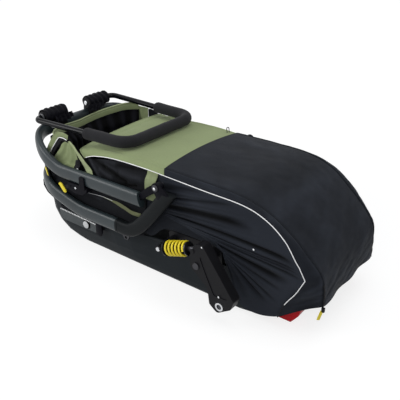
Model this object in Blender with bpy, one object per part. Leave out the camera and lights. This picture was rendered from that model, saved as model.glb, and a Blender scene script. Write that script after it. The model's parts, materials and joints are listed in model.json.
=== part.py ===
"""Dog bike trailer, folded flat with its wheels off.

Metres, +Z up. The trailer travels towards -X, its left side is at -Y, and the
origin is on the underside of the tub. Every length below is a real size.
"""
import math

import bmesh
import bpy
from mathutils import Matrix, Vector

# Clearances between touching pieces
GAP = 0.0003
RUNNING = 0.0003
SEAT = 0.0009

# Frame: two folding hoops of flat-oval tube that meet at one pivot a side
FRAME_HALF = 0.236
TUBE_TALL = 0.046
TUBE_WIDE = 0.026
BEND_STEPS = 6
PIVOT_X = 0.029
PIVOT_Z = 0.338
HOOP_LENGTH = 0.605
HOOP_BEND = 0.130
HOOP_RAIL_Z = 0.276
HOOP_FRONT_Z = 0.352
HOOP_RISE_RUN = 0.196
HOOP_END_X = -0.056
LOOP_BEND = 0.150
LOOP_RAIL_Z = 0.155
LOOP_FRONT_Z = 0.215
LOOP_RISE_RUN = 0.290
LOOP_END_X = -0.144
LOOP_STEP_IN = 0.006
ELBOW_BEND = 0.060
PIN_RADIUS = 0.005
EYE_RADIUS = 0.017

# Handlebar that folds over the hoop
HANDLE_HALF = 0.184
GRIP_HALF = 0.161
HANDLE_LENGTH = 0.411
HANDLE_RADIUS = 0.010
HANDLE_Z = 0.400
HUB_RADIUS = 0.021
HUB_INNER_Y = 0.052
HUB_SETBACK = 0.034
HUB_SOCKET = 0.026
SADDLE_OUTER_Y = 0.104
FOAM_RADIUS = 0.019
FOAM_REACH = 0.176
BUTTON_RADIUS = 0.0085
BUTTON_DEPTH = 0.009
BUTTON_PROUD = 0.005

# Tub and floor mat
TUB_WALL = 0.004
TUB_SET_IN = 0.044
TUB_FRONT_GAP = 0.056
TUB_REAR_X = 0.420
LIP_REACH = 0.0464
LIP_THICK = 0.005
RIM_DROP = 0.0080
MAT_THICK = 0.026

# Cloth cabin
CLOTH = 0.003
BAND_SET_IN = 0.098
SEAM_GAP = 0.0008
CABIN_SET_IN = 0.029
REAR_X = 0.533
ROOF_Z = 0.382
ROOF_FRONT_X = -0.365
BOUNDARY_X = 0.005
FOLD_DEPTH = 0.0042
FOLD_COUNT = 6.5
FOLD_ROWS = 34
PIPING_INSET = 0.0040

# Suspension: a swing arm a side, with a sprung strut lying above it
ARM_PIVOT_X = 0.203
ARM_PIVOT_Z = 0.165
ARM_INNER = 0.017
ARM_THICK = 0.032
AXLE_X = 0.283
AXLE_Z = 0.062
AXLE_BORE = 0.008
BUSH_WALL = 0.005
STRUT_FRONT_X = 0.059
STRUT_FRONT_Z = 0.163
STRUT_REAR_X = 0.190
STRUT_REAR_Z = 0.208
STRUT_OUT = 0.033
ROD_RADIUS = 0.005
SEAT_RADIUS = 0.024
SEAT_THICK = 0.005
SPRING_START = 0.031
SPRING_END = 0.110
SPRING_RADIUS = 0.0205
WIRE_RADIUS = 0.0038
SPRING_TURNS = 5.5
POINTS_PER_CURL = 8

# Fold latch and strap between the two hoops
LATCH_FRONT_X = -0.350
LATCH_LENGTH = 0.088
STRAP_X = -0.478

# Drawbar socket on the left side of the tub
SOCKET_FRONT_X = -0.438
SOCKET_LENGTH = 0.180
SOCKET_LOW_Z = 0.080
SOCKET_TALL = 0.040
SOCKET_DEEP = 0.033
SOCKET_BORE = 0.030
SOCKET_SLOT = 0.012
SOCKET_TEETH = 22

# Pieces that follow from the sizes above
HOOP_FRONT_X = PIVOT_X - HOOP_LENGTH
LOOP_FRONT_X = HOOP_FRONT_X + LOOP_STEP_IN
TUB_HALF = FRAME_HALF - TUB_SET_IN
TUB_FRONT_X = LOOP_FRONT_X + TUB_FRONT_GAP
CABIN_HALF = FRAME_HALF - CABIN_SET_IN
BAND_HALF = FRAME_HALF - BAND_SET_IN
HUB_OUTER_Y = HANDLE_HALF - HUB_SETBACK
ARM_INNER_Y = FRAME_HALF + ARM_INNER
ARM_OUTER_Y = ARM_INNER_Y + ARM_THICK
STRUT_Y = FRAME_HALF + STRUT_OUT

COLOURS = {
    "black_tube": ((0.030, 0.033, 0.037), 0.45, 0.4),
    "black_plastic": ((0.020, 0.020, 0.022), 0.55, 0.0),
    "tub_plastic": ((0.035, 0.037, 0.041), 0.60, 0.0),
    "foam": ((0.018, 0.018, 0.020), 0.90, 0.0),
    "green_cloth": ((0.245, 0.300, 0.150), 0.85, 0.0),
    "black_cloth": ((0.014, 0.015, 0.019), 0.80, 0.0),
    "yellow": ((0.850, 0.620, 0.020), 0.40, 0.0),
    "steel": ((0.600, 0.610, 0.620), 0.30, 1.0),
    "red_lens": ((0.550, 0.010, 0.015), 0.15, 0.0),
    "grey_mat": ((0.110, 0.115, 0.120), 0.90, 0.0),
}


def clear_scene():
    """Remove whatever the open file holds."""
    for obj in list(bpy.data.objects):
        bpy.data.objects.remove(obj, do_unlink=True)


def material(name):
    """A Principled material in one of the trailer's colours."""
    found = bpy.data.materials.get(name)
    if found:
        return found
    colour, roughness, metallic = COLOURS[name]
    made = bpy.data.materials.new(name)
    made.use_nodes = True
    shader = made.node_tree.nodes["Principled BSDF"]
    shader.inputs["Base Color"].default_value = (*colour, 1.0)
    shader.inputs["Roughness"].default_value = roughness
    shader.inputs["Metallic"].default_value = metallic
    made.diffuse_color = (*colour, 1.0)
    return made


def piece(name, verts, faces, colour, side=-1, smooth=35.0, origin=None):
    """One closed mesh object. Pieces are written for the left side; side=1 mirrors them."""
    verts = [Vector((v[0], v[1] if side < 0 else -v[1], v[2])) for v in verts]
    mesh = bpy.data.meshes.new(name)
    bm = bmesh.new()
    rows = [bm.verts.new(v) for v in verts]
    for face in faces:
        bm.faces.new([rows[i] for i in face])
    bmesh.ops.recalc_face_normals(bm, faces=bm.faces)
    bm.to_mesh(mesh)
    bm.free()
    obj = bpy.data.objects.new(name, mesh)
    bpy.context.scene.collection.objects.link(obj)
    obj.data.materials.append(material(colour))
    if origin is not None:
        centre = Vector((origin[0], origin[1] if side < 0 else -origin[1], origin[2]))
        mesh.transform(Matrix.Translation(-centre))
        obj.location = centre
    if smooth:
        mesh.shade_smooth()
        mesh.set_sharp_from_angle(angle=math.radians(smooth))
    return obj


def boolean(obj, other, operation="DIFFERENCE"):
    """Cut or join with a helper shape, which stays in the file unseen."""
    other.hide_render = True
    other.display_type = "WIRE"
    change = obj.modifiers.new("shape", "BOOLEAN")
    change.operation = operation
    change.solver = "EXACT"
    change.object = other


def loft(rings, closed_ends=True):
    """Skin a list of equal rings; the ends get flat caps."""
    count = len(rings[0])
    verts = [point for ring in rings for point in ring]
    faces = []
    for row in range(len(rings) - 1):
        low, high = row * count, (row + 1) * count
        for i in range(count):
            j = (i + 1) % count
            faces.append((low + i, low + j, high + j, high + i))
    if closed_ends:
        faces.append(tuple(range(count))[::-1])
        faces.append(tuple(range(len(verts) - count, len(verts))))
    return verts, faces


def prism(outline, low, high, axis="Y"):
    """Extrude an outline of (x, z), (x, y) or (y, z) points between two planes."""
    place = {
        "Y": lambda a, b, c: (a, c, b),
        "Z": lambda a, b, c: (a, b, c),
        "X": lambda a, b, c: (c, a, b),
    }[axis]
    return loft([[place(a, b, plane) for a, b in outline] for plane in (low, high)])


def arc(centre, radius, start, end, steps):
    """Points of an arc, angles in degrees."""
    turn = [math.radians(start + (end - start) * i / steps) for i in range(steps + 1)]
    return [(centre[0] + radius * math.cos(t), centre[1] + radius * math.sin(t)) for t in turn]


def circle(centre, radius, steps):
    """Points of a full circle, once round."""
    return arc(centre, radius, 0.0, 360.0, steps)[:-1]


def fillet(points, radii, steps=6, closed=False):
    """Round the corners of a polyline of 2D or 3D points, each by its own radius."""
    result = []
    count = len(points)
    for i, here in enumerate(points):
        here = Vector(here)
        if not closed and i in (0, count - 1):
            result.append(here)
            continue
        before, after = Vector(points[i - 1]), Vector(points[(i + 1) % count])
        radius = radii[i] if isinstance(radii, (list, tuple)) else radii
        to_before, to_after = (before - here).normalized(), (after - here).normalized()
        half = to_before.angle(to_after) / 2
        if radius <= 0 or abs(half - math.pi / 2) < 0.01:
            result.append(here)
            continue
        reach = min(radius / math.tan(half), 0.49 * (before - here).length, 0.49 * (after - here).length)
        radius = reach * math.tan(half)
        centre = here + (to_before + to_after).normalized() * (radius / math.sin(half))
        start, end = here + to_before * reach - centre, here + to_after * reach - centre
        sweep = start.angle(end)
        for k in range(steps + 1):
            t = k / steps
            part = start * math.sin((1 - t) * sweep) + end * math.sin(t * sweep)
            result.append(centre + part / math.sin(sweep))
    return result


def spaced(points, step):
    """Add points on the long straight runs of a path."""
    result = [Vector(points[0])]
    for point in points[1:]:
        last, point = result[-1], Vector(point)
        parts = max(1, int((point - last).length / step))
        result += [last.lerp(point, k / parts) for k in range(1, parts + 1)]
    return result


def smooth_step(value):
    """Ease from 0 to 1."""
    value = min(1.0, max(0.0, value))
    return value * value * (3 - 2 * value)


def spline(knots, value):
    """Read a smooth curve through the knots; value runs from 0 to len(knots) - 1."""
    last = len(knots) - 1
    index = min(int(value), last - 1)
    t = value - index
    k = [Vector(knots[min(max(index + o, 0), last)]) for o in (-1, 0, 1, 2)]
    a = 2 * k[1]
    b = k[2] - k[0]
    c = 2 * k[0] - 5 * k[1] + 4 * k[2] - k[3]
    d = -k[0] + 3 * k[1] - 3 * k[2] + k[3]
    return 0.5 * (a + b * t + c * t * t + d * t * t * t)


def sweep(path, section, upright=Vector((0, 0, 1)), inner=None):
    """Carry a section of (across, up) points along a path, or a wall when inner is given."""
    path = [Vector(p) for p in path]
    frames = []
    for i, here in enumerate(path):
        ahead, behind = path[min(i + 1, len(path) - 1)], path[max(i - 1, 0)]
        along = (ahead - behind).normalized()
        across = upright.cross(along).normalized()
        frames.append((here, across, along.cross(across)))

    def ring(frame, shape):
        here, across, up = frame
        return [here + across * a + up * b for a, b in shape]

    rings = [ring(frame, section) for frame in frames]
    if inner is None:
        return loft(rings)
    rings += [ring(frame, inner) for frame in reversed(frames)]
    verts, faces = loft(rings, closed_ends=False)
    count, last = len(section), len(rings) - 1
    for i in range(count):
        j = (i + 1) % count
        faces.append((last * count + i, last * count + j, j, i))
    return verts, faces


def oval(wide, tall, steps=12, power=0.72):
    """A flat-oval tube section."""
    points = []
    full = math.cos(math.pi / steps) ** power
    for i in range(steps):
        t = 2 * math.pi * (i + 0.5) / steps
        c, s = math.cos(t), math.sin(t)
        points.append((wide / 2 * math.copysign(abs(c) ** power / full, c),
                       tall / 2 * math.copysign(abs(s) ** power / full, s)))
    return points


def cylinder(name, centre, radius, low, high, colour, side=-1, steps=16, bore=None):
    """A turned piece along Y, with an optional bore."""
    outer = circle(centre, radius, steps)
    if bore is None:
        verts, faces = prism(outer, low, high)
        return piece(name, verts, faces, colour, side)
    inner = circle(centre, bore, steps)
    rings = [[(a, plane, b) for a, b in shape]
             for shape, plane in ((outer, low), (outer, high), (inner, high), (inner, low))]
    verts, faces = loft(rings, closed_ends=False)
    for i in range(steps):
        j = (i + 1) % steps
        faces.append((3 * steps + i, 3 * steps + j, j, i))
    return piece(name, verts, faces, colour, side)


def turned(profile, centre, steps=16):
    """Turn (radius, y) points about the Y line through centre."""
    rings = [[(a, y, b) for a, b in circle(centre, radius, steps)] for radius, y in profile]
    return loft(rings)


def cloth(grid, thickness=CLOTH):
    """A closed sheet of even thickness under a grid of outer points."""
    rows, columns = len(grid), len(grid[0])
    points = [[Vector(p) for p in row] for row in grid]

    def normal(i, j):
        along = points[min(i + 1, rows - 1)][j] - points[max(i - 1, 0)][j]
        across = points[i][min(j + 1, columns - 1)] - points[i][max(j - 1, 0)]
        return along.cross(across).normalized()

    outer = [points[i][j] for i in range(rows) for j in range(columns)]
    inner = [points[i][j] - normal(i, j) * thickness for i in range(rows) for j in range(columns)]
    total = rows * columns
    faces = []
    for i in range(rows - 1):
        for j in range(columns - 1):
            a, b = i * columns + j, i * columns + j + 1
            c, d = b + columns, a + columns
            faces.append((a, b, c, d))
            faces.append((total + d, total + c, total + b, total + a))
    rim = [j for j in range(columns)]
    rim += [i * columns + columns - 1 for i in range(1, rows)]
    rim += [(rows - 1) * columns + j for j in range(columns - 2, -1, -1)]
    rim += [i * columns for i in range(rows - 2, 0, -1)]
    for k, here in enumerate(rim):
        after = rim[(k + 1) % len(rim)]
        faces.append((here, total + here, total + after, after))
    return outer + inner, faces


# Frame hoops
def hoop_z(x):
    """Height of the upper hoop's centre line, which kicks up at its front."""
    return HOOP_RAIL_Z + (HOOP_FRONT_Z - HOOP_RAIL_Z) * smooth_step(
        (HOOP_FRONT_X + HOOP_RISE_RUN - x) / HOOP_RISE_RUN)


def loop_z(x):
    """Height of the lower loop's centre line."""
    return LOOP_RAIL_Z + (LOOP_FRONT_Z - LOOP_RAIL_Z) * smooth_step(
        (LOOP_FRONT_X + LOOP_RISE_RUN - x) / LOOP_RISE_RUN)


def u_path(end_x, front_x, bend, height, step=0.055):
    """Centre line of a U-shaped hoop, from its left end round the front to its right end."""
    corners = [(end_x, -FRAME_HALF), (front_x, -FRAME_HALF), (front_x, FRAME_HALF), (end_x, FRAME_HALF)]
    plan = spaced(fillet(corners, bend, steps=BEND_STEPS), step)
    return [Vector((p[0], p[1], height(p[0]))) for p in plan]


def hoop_path():
    """Centre line of the upper hoop."""
    return u_path(HOOP_END_X, HOOP_FRONT_X, HOOP_BEND, hoop_z)


def build_hoops():
    """Upper hoop and lower loop."""
    section = oval(TUBE_WIDE, TUBE_TALL)
    piece("upper_hoop", *sweep(hoop_path(), section), "black_tube")
    path = u_path(LOOP_END_X, LOOP_FRONT_X, LOOP_BEND, loop_z)
    piece("lower_loop", *sweep(path, section), "black_tube")


def elbow_path():
    """Centre line of the left elbow, from the lower loop up to the pivot."""
    low = (LOOP_END_X + GAP, LOOP_RAIL_Z)
    corners = [low, (LOOP_END_X + 0.056, LOOP_RAIL_Z), (PIVOT_X + 0.027, PIVOT_Z - 0.020)]
    bent = spaced(fillet(corners, ELBOW_BEND, steps=6), 0.05)
    return [Vector((p[0], -FRAME_HALF, p[1])) for p in bent]


def tangent_hull(centre, radius, others, steps=12):
    """Convex outline round a circle and some loose points, in order."""
    points = circle(centre, radius, steps * 2) + list(others)
    points = sorted(set((round(a, 7), round(b, 7)) for a, b in points))

    def half(row):
        chain = []
        for p in row:
            while len(chain) > 1 and ((chain[-1][0] - chain[-2][0]) * (p[1] - chain[-2][1])
                                      - (chain[-1][1] - chain[-2][1]) * (p[0] - chain[-2][0])) <= 0:
                chain.pop()
            chain.append(p)
        return chain[:-1]

    return half(points) + half(points[::-1])


def build_pivot(name, side):
    """Elbow casting, the hoop's knuckle and the bolt that joins them."""
    inner, outer = -(FRAME_HALF - TUBE_WIDE / 2), -(FRAME_HALF + TUBE_WIDE / 2)
    lug_in = outer + 0.010
    eye_out, eye_in = lug_in + GAP, inner + 0.0005
    centre = (PIVOT_X, PIVOT_Z)
    path = elbow_path()
    elbow = piece(f"{name}_elbow", *sweep_upright(path, oval(TUBE_WIDE, TUBE_TALL)), "black_tube", side)
    foot = path[-1]
    lug = piece(f"{name}_lug", *prism(tangent_hull(centre, EYE_RADIUS + 0.002, [
        (foot.x + 0.006, foot.z + 0.004), (foot.x - 0.030, foot.z - 0.034), (foot.x + 0.004, foot.z - 0.022)]),
        outer + 0.0005, lug_in), "black_tube", side)
    rail = HOOP_END_X + GAP
    boolean(elbow, piece(f"{name}_eye_room", *prism(tangent_hull(centre, EYE_RADIUS + 0.0025, [
        (rail, HOOP_RAIL_Z + 0.019), (rail, HOOP_RAIL_Z - 0.018)]), lug_in, inner + 0.02), "black_tube", side))
    boolean(elbow, lug, "UNION")
    boolean(elbow, cylinder(f"{name}_lug_bore", centre, PIN_RADIUS + RUNNING, outer - 0.01, inner + 0.01,
                            "black_tube", side))
    knuckle = piece(f"{name}_hoop_knuckle", *prism(tangent_hull(centre, EYE_RADIUS, [
        (rail, HOOP_RAIL_Z + 0.019), (rail, HOOP_RAIL_Z - 0.014)]), eye_out, eye_in), "black_plastic", side)
    boolean(knuckle, cylinder(f"{name}_eye_bore", centre, PIN_RADIUS + RUNNING, outer - 0.01, inner + 0.01,
                              "black_plastic", side))
    head = PIN_RADIUS + 0.006
    profile = [(head * 0.55, outer - 0.0042), (head * 0.9, outer - 0.0030), (head, outer - 0.0012),
               (head, outer + 0.0002), (PIN_RADIUS, outer + 0.0002), (PIN_RADIUS, eye_in + GAP),
               (PIN_RADIUS + 0.004, eye_in + GAP), (PIN_RADIUS + 0.004, eye_in + 0.0045)]
    piece(f"{name}_pivot_bolt", *turned(profile, centre), "steel", side)


def sweep_upright(path, section):
    """Sweep in the plane of the side, where the tube's tall way stays in that plane."""
    rings = []
    for i, here in enumerate(path):
        ahead, behind = path[min(i + 1, len(path) - 1)], path[max(i - 1, 0)]
        along = (ahead - behind).normalized()
        up = along.cross(Vector((0, 1, 0))) * -1
        rings.append([here + Vector((0, 1, 0)) * a + up * b for a, b in section])
    return loft(rings)


def build_tie_ring(name, side):
    """Safety strap ring under the elbow."""
    x, top = LOOP_END_X + 0.034, LOOP_RAIL_Z - TUBE_TALL / 2 - GAP
    outline = [(x - 0.016, top), (x + 0.016, top), (x + 0.007, top - 0.016), (x - 0.007, top - 0.016)]
    ring = piece(f"{name}_tie_ring", *prism(outline, -FRAME_HALF - 0.003, -FRAME_HALF + 0.003), "steel", side)
    boolean(ring, cylinder(f"{name}_tie_hole", (x, top - 0.0085), 0.0048, -FRAME_HALF - 0.01,
                           -FRAME_HALF + 0.01, "steel", side, steps=12))


# Tub. Each level gives its height, how far its sides, bow and tail are drawn in, and its flare
TUB_LEVELS = [(0.0, 0.007, 0.077, 0.075, 0.0), (0.008, 0.002, 0.059, 0.045, 0.0), (0.024, 0.0, 0.017, 0.022, 0.003),
              (0.050, 0.0, -0.006, 0.008, 0.010), (0.090, 0.0, -0.020, 0.002, 0.016)]
FLARE_END_X = 0.018
FLARE_RUN = 0.220
FRONT_BEND = LOOP_BEND - TUB_SET_IN - 0.020
REAR_BEND = 0.060


def side_shares():
    """Where a ring's side points lie: under the loop's own points, then through the end of the flare."""
    start, end = TUB_FRONT_X - 0.022 + FRONT_BEND, TUB_REAR_X - REAR_BEND
    path = u_path(LOOP_END_X, LOOP_FRONT_X, LOOP_BEND, loop_z)
    straight = LOOP_FRONT_X + LOOP_BEND + 0.010, LOOP_END_X - 0.010
    places = sorted(p.x for p in path if p.y < 0 and straight[0] < p.x < straight[1])
    places += [FLARE_END_X - FLARE_RUN * share for share in (0.67, 0.40, 0.20, 0.0)]
    return [(x - start) / (end - start) for x in places]


def tub_ring(half, front, rear, front_bend, rear_bend, height, flare=0.0):
    """A rounded rectangle in plan, pushed outward by the flare in the front part."""
    points = arc((front + front_bend, -half + front_bend), front_bend, 180, 270, 6)
    tail = arc((rear - rear_bend, -half + rear_bend), rear_bend, 270, 360, 5)
    start, end = points[-1][0], tail[0][0]
    points += [(start + (end - start) * share, -half) for share in side_shares()] + tail
    ring = points + [(x, -y) for x, y in reversed(points)]
    result = []
    for x, y in ring:
        share = smooth_step((FLARE_END_X - x) / FLARE_RUN) * flare
        out = Vector((0.0, y))
        if x < front + front_bend:
            core = max(half - front_bend, 0.0)
            out = Vector((x - front - front_bend, y - math.copysign(min(abs(y), core), y)))
        out.normalize()
        x, y = x + out.x * share, y + out.y * share
        result.append((x, y, height(x, y)))
    return result


def under_loop(x, y):
    """Height of the tub's rim, just under the nearest stretch of the lower loop and level behind it."""
    path = u_path(LOOP_END_X, LOOP_FRONT_X, LOOP_BEND, loop_z)
    drop = RIM_DROP * (TUB_REAR_X - TUB_FRONT_X) ** 2
    best = (abs(x) + 1, LOOP_RAIL_Z - TUBE_TALL / 2)
    for here, after in zip(path, path[1:]):
        run = Vector((after.x - here.x, after.y - here.y))
        share = ((x - here.x) * run.x + (y - here.y) * run.y) / run.length_squared
        share = min(1.0, max(0.0, share))
        near = here.lerp(after, share)
        slope = (after.z - here.z) / run.length
        best = min(best, (math.hypot(near.x - x, near.y - y),
                          near.z - TUBE_TALL / 2 * math.sqrt(1 + slope ** 2) - drop * abs(slope)))
    return best[1] - GAP


def build_tub():
    """Moulded tub with its flared rim, and the padded mat on its floor."""
    rings = []

    def add(height, wall, side_in, bow_in, tail_in, flare):
        """One ring, moved inward by the wall's thickness when it is on the inside."""
        rings.append(tub_ring(TUB_HALF - side_in - wall, TUB_FRONT_X + bow_in + wall, TUB_REAR_X - tail_in - wall,
                              FRONT_BEND - wall * 0.5, REAR_BEND - wall * 0.5, height, flare))

    for level, *shape in TUB_LEVELS:
        add(lambda x, y, h=level: h, 0.0, *shape)
    add(lambda x, y: under_loop(x, y) - LIP_THICK - 0.005, 0.0, 0, -0.029, 0, 0.018)
    add(lambda x, y: under_loop(x, y) - LIP_THICK, 0.0, 0, -0.021, 0, LIP_REACH - 0.001)
    add(under_loop, 0.0, 0, -0.022, 0, LIP_REACH)
    add(under_loop, TUB_WALL, 0, -0.026, 0, 0.024)
    add(lambda x, y: under_loop(x, y) - LIP_THICK - 0.006, TUB_WALL, 0, -0.029, 0, 0.018)
    for level, *shape in reversed(TUB_LEVELS):
        add(lambda x, y, h=level: h + TUB_WALL, TUB_WALL, *shape)
    piece("tub", *loft(rings), "tub_plastic", smooth=40)

    count = len(TUB_LEVELS) + 3
    grown = [[(x * (1 + SEAT), y + math.copysign(SEAT / 2, y), z - GAP) for x, y, z in ring]
             for ring in rings[:count]]
    room = piece("tub_room", *loft(grown), "tub_plastic")
    room.hide_render = True

    half = TUB_HALF - TUB_LEVELS[0][1] - TUB_WALL - 0.010
    front, rear = TUB_FRONT_X + TUB_LEVELS[0][2] + 0.02, TUB_REAR_X - TUB_LEVELS[0][3] - 0.02
    low = TUB_WALL + GAP
    mat = []
    for height, inset in ((low, 0.006), (low + 0.006, 0.0), (low + MAT_THICK - 0.008, 0.0),
                          (low + MAT_THICK, 0.010)):
        mat.append(tub_ring(half - inset, front + inset, rear - inset, 0.07, 0.05, lambda x, y, h=height: h))
    piece("floor_mat", *loft(mat), "grey_mat", smooth=50)
    return room


# Cloth cabin. Each row of knots runs from the green and black seam over the tail to the hem:
# the crown line, the shoulder seam, the middle of the gusset and the piped edge.
def crown_knots():
    """Middle line of the cover."""
    r, z = REAR_X, ROOF_Z
    return [(BOUNDARY_X, 0, z), (0.150, 0, z - 0.001), (0.28, 0, z - 0.006), (r - 0.168, 0, z - 0.033),
            (r - 0.098, 0, z - 0.084), (r - 0.043, 0, z - 0.137), (r - 0.013, 0, z - 0.187),
            (r - 0.003, 0, z - 0.225), (r, 0, z - 0.254), (r, 0, z - 0.279)]


def seam_knots():
    """Shoulder seam of the cover."""
    r, z, h = REAR_X, ROOF_Z, CABIN_HALF
    return [(BOUNDARY_X + 0.006, -h + 0.022, z - 0.009), (0.150, -h + 0.018, z - 0.009),
            (0.28, -h + 0.018, z - 0.015), (r - 0.171, -h + 0.022, z - 0.040),
            (r - 0.102, -h + 0.029, z - 0.086), (r - 0.048, -h + 0.032, z - 0.135),
            (r - 0.018, -h + 0.038, z - 0.180), (r - 0.005, -h + 0.043, z - 0.225),
            (r, -h + 0.047, z - 0.257), (r + 0.001, -h + 0.050, z - 0.284)]


def piping_knots():
    """Piped edge of the cover."""
    r, z, h = REAR_X, ROOF_Z, CABIN_HALF
    return [(BOUNDARY_X + 0.022, -h + 0.002, z - 0.021), (0.170, -h, z - 0.026), (0.300, -h, z - 0.031),
            (r - 0.161, -h + 0.001, z - 0.053), (r - 0.105, -h + 0.002, z - 0.093),
            (r - 0.070, -h + 0.002, z - 0.140), (r - 0.038, -h + 0.004, z - 0.191),
            (r - 0.061, -h + 0.005, z - 0.240), (r - 0.093, -h + 0.007, z - 0.292),
            (r - 0.112, -h + 0.008, z - 0.343)]


def gusset_knots():
    """The gusset bulges a little between the seam and the piping, and its hem runs up to the tail."""
    middle = []
    for seam, edge in zip(seam_knots(), piping_knots()):
        both = (Vector(seam) + Vector(edge)) / 2
        middle.append(both + Vector((0.002, -0.0035, 0.002)))
    middle[-1] = Vector((REAR_X - 0.049, -CABIN_HALF + 0.020, ROOF_Z - 0.300))
    return middle


def roof_row(crown, seam, edge_points):
    """One row of outer points from the left edge over the roof to the right edge."""
    shares = (0.66, 0.33)
    left = [Vector(p) for p in edge_points] + [Vector(seam)]
    for share in shares:
        left.append(Vector((crown[0] + (seam[0] - crown[0]) * share ** 2, seam[1] * share,
                            crown[2] + (seam[2] - crown[2]) * share ** 2)))
    right = [Vector((p.x, -p.y, p.z)) for p in reversed(left)]
    return left + [Vector(crown)] + right


def build_rear_cover():
    """Black cover over the tail, one cloth down to both piped edges."""
    rows = []
    steps = 20
    for i in range(steps + 1):
        s = 9 * i / steps
        rows.append(roof_row(spline(crown_knots(), s), spline(seam_knots(), s),
                             [spline(piping_knots(), s), spline(gusset_knots(), s)]))
    piece("rear_cover", *cloth(rows), "black_cloth", smooth=50)


def green_crown():
    """Middle line of the green roof."""
    f, z = ROOF_FRONT_X, ROOF_Z
    return [(f, 0, z - 0.014), (f + 0.09, 0, z - 0.007), (-0.15, 0, z - 0.002), (BOUNDARY_X - SEAM_GAP, 0, z)]


def green_seam():
    """Shoulder of the green roof."""
    f, z, h = ROOF_FRONT_X, ROOF_Z, CABIN_HALF
    return [(f + 0.01, -h + 0.045, z - 0.026), (f + 0.09, -h + 0.037, z - 0.017),
            (-0.15, -h + 0.030, z - 0.009), (BOUNDARY_X + 0.006 - SEAM_GAP, -h + 0.022, z - 0.009)]


def green_edge():
    """Lower edge of the green roof."""
    f, z, h = ROOF_FRONT_X, ROOF_Z, CABIN_HALF
    return [(f + 0.030, -h + 0.017, z - 0.054), (f + 0.11, -h + 0.015, z - 0.036),
            (-0.14, -h + 0.012, z - 0.017), (BOUNDARY_X + 0.022 - SEAM_GAP, -h + 0.002, z - 0.021)]


def build_green_roof():
    """Green cloth between the front of the cabin and the black cover."""
    rows = []
    steps = 9
    for i in range(steps + 1):
        s = 3 * i / steps
        edge, seam = spline(green_edge(), s), spline(green_seam(), s)
        middle = (edge + seam) / 2 + Vector((0, -0.003, 0.003)) * (1 - (i / steps) ** 4)
        rows.append(roof_row(spline(green_crown(), s), seam, [edge, middle]))
    piece("green_roof", *cloth(rows), "green_cloth", smooth=50)


def side_outline():
    """Outer edge of the left side panel, just inside the piping and on round the hem."""
    edge = []
    for i in range(19):
        s = 9 * i / 18
        along = spline(piping_knots(), min(9, s + 0.05)) - spline(piping_knots(), max(0, s - 0.05))
        behind = smooth_step(s - 7.1)
        inward = Vector((along.z, 0, -along.x)).normalized() * PIPING_INSET * (1 - 2 * behind)
        edge.append(spline(piping_knots(), s) + inward)
    r, z, h = REAR_X, ROOF_Z, CABIN_HALF
    hem = [(r - 0.163, -h + 0.006, z - 0.360), (ARM_PIVOT_X + 0.107, -h + 0.005, z - 0.357),
           (ARM_PIVOT_X + 0.082, -h + 0.003, z - 0.325)]
    return edge + [Vector(p) for p in hem]


def side_focus():
    """Inner edge of the side panel, gathered behind the elbow and over the spring."""
    x, z, h = BOUNDARY_X, PIVOT_Z, CABIN_HALF
    return [(x - 0.045, -h + 0.003, ROOF_Z - 0.026), (x - 0.050, -h + 0.002, z - 0.035),
            (x - 0.046, -h + 0.002, z - 0.075), (x - 0.020, -h + 0.003, z - 0.100), (x + 0.055, -h + 0.003, z - 0.114),
            (ARM_PIVOT_X - 0.050, -h + 0.003, z - 0.126), (ARM_PIVOT_X + 0.012, -h + 0.003, z - 0.134),
            (ARM_PIVOT_X + 0.042, -h + 0.002, z - 0.172)]


def build_side_panel(name, side):
    """Side cloth whose folds radiate from the pivot to the tail."""
    outline, focus = side_outline(), side_focus()
    rows = []
    last = len(outline) - 1
    for i in range(FOLD_ROWS + 1):
        share = i / FOLD_ROWS
        far = spline(outline, share * last)
        near = spline(focus, share * (len(focus) - 1))
        tuck = smooth_step(share * last / 2 - 6.3) * smooth_step((19.5 - share * last) / 1.5)
        row = []
        for j in range(7):
            t = j / 6
            point = near.lerp(far, t)
            wave = math.sin(2 * math.pi * FOLD_COUNT * share) * math.sin(math.pi * t) ** 0.8
            point.y += (CLOTH + 0.0045) * tuck * t ** 8
            point.y += FOLD_DEPTH * wave * smooth_step(share * 6) - 0.001 * math.sin(math.pi * t)
            row.append(point)
        rows.append(row)
    piece(f"{name}_side_panel", *cloth(rows), "black_cloth", side, smooth=60)


def window_head(x):
    """Top of the side window: behind the front gusset, then up to the roof's edge."""
    f = HOOP_FRONT_X
    if x < f + 0.262:
        knots = gusset_low()
        share = 2 * (x - f - 0.036) / 0.230
        point = spline(knots, max(0.0, share))
        return point.y + 0.0048, point.z + 0.006
    roof = spline(green_edge(), 3 * (x - ROOF_FRONT_X - 0.03) / (BOUNDARY_X - ROOF_FRONT_X - 0.008))
    return -(CABIN_HALF - 0.016), roof.z - 0.0045


def build_side_window(name, side):
    """Folded mesh cloth between the lower loop and the roof, in hanging pleats."""
    start, end = HOOP_FRONT_X + 0.048, BOUNDARY_X - 0.062
    columns = [start + (HOOP_FRONT_X + 0.260 - start) * k / 5 for k in range(6)]
    columns += [HOOP_FRONT_X + 0.276 + (end - HOOP_FRONT_X - 0.276) * k / 9 for k in range(10)]
    rows = []
    for x in columns:
        low_y, bottom = inside_rail(x, LOOP_FRONT_X, LOOP_BEND), loop_z(x) - 0.012
        high_y, top = window_head(x)
        tall = (top - bottom) / 0.19
        row = []
        for j in range(10):
            t = j / 9
            wave = math.sin(2 * math.pi * 2.0 * t) * math.sin(math.pi * t) * tall
            row.append(Vector((x, low_y + (high_y - low_y) * t + 0.006 * wave, bottom + (top - bottom) * t)))
        rows.append(row)
    piece(f"{name}_side_window", *cloth(rows), "black_cloth", side, smooth=60)


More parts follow.
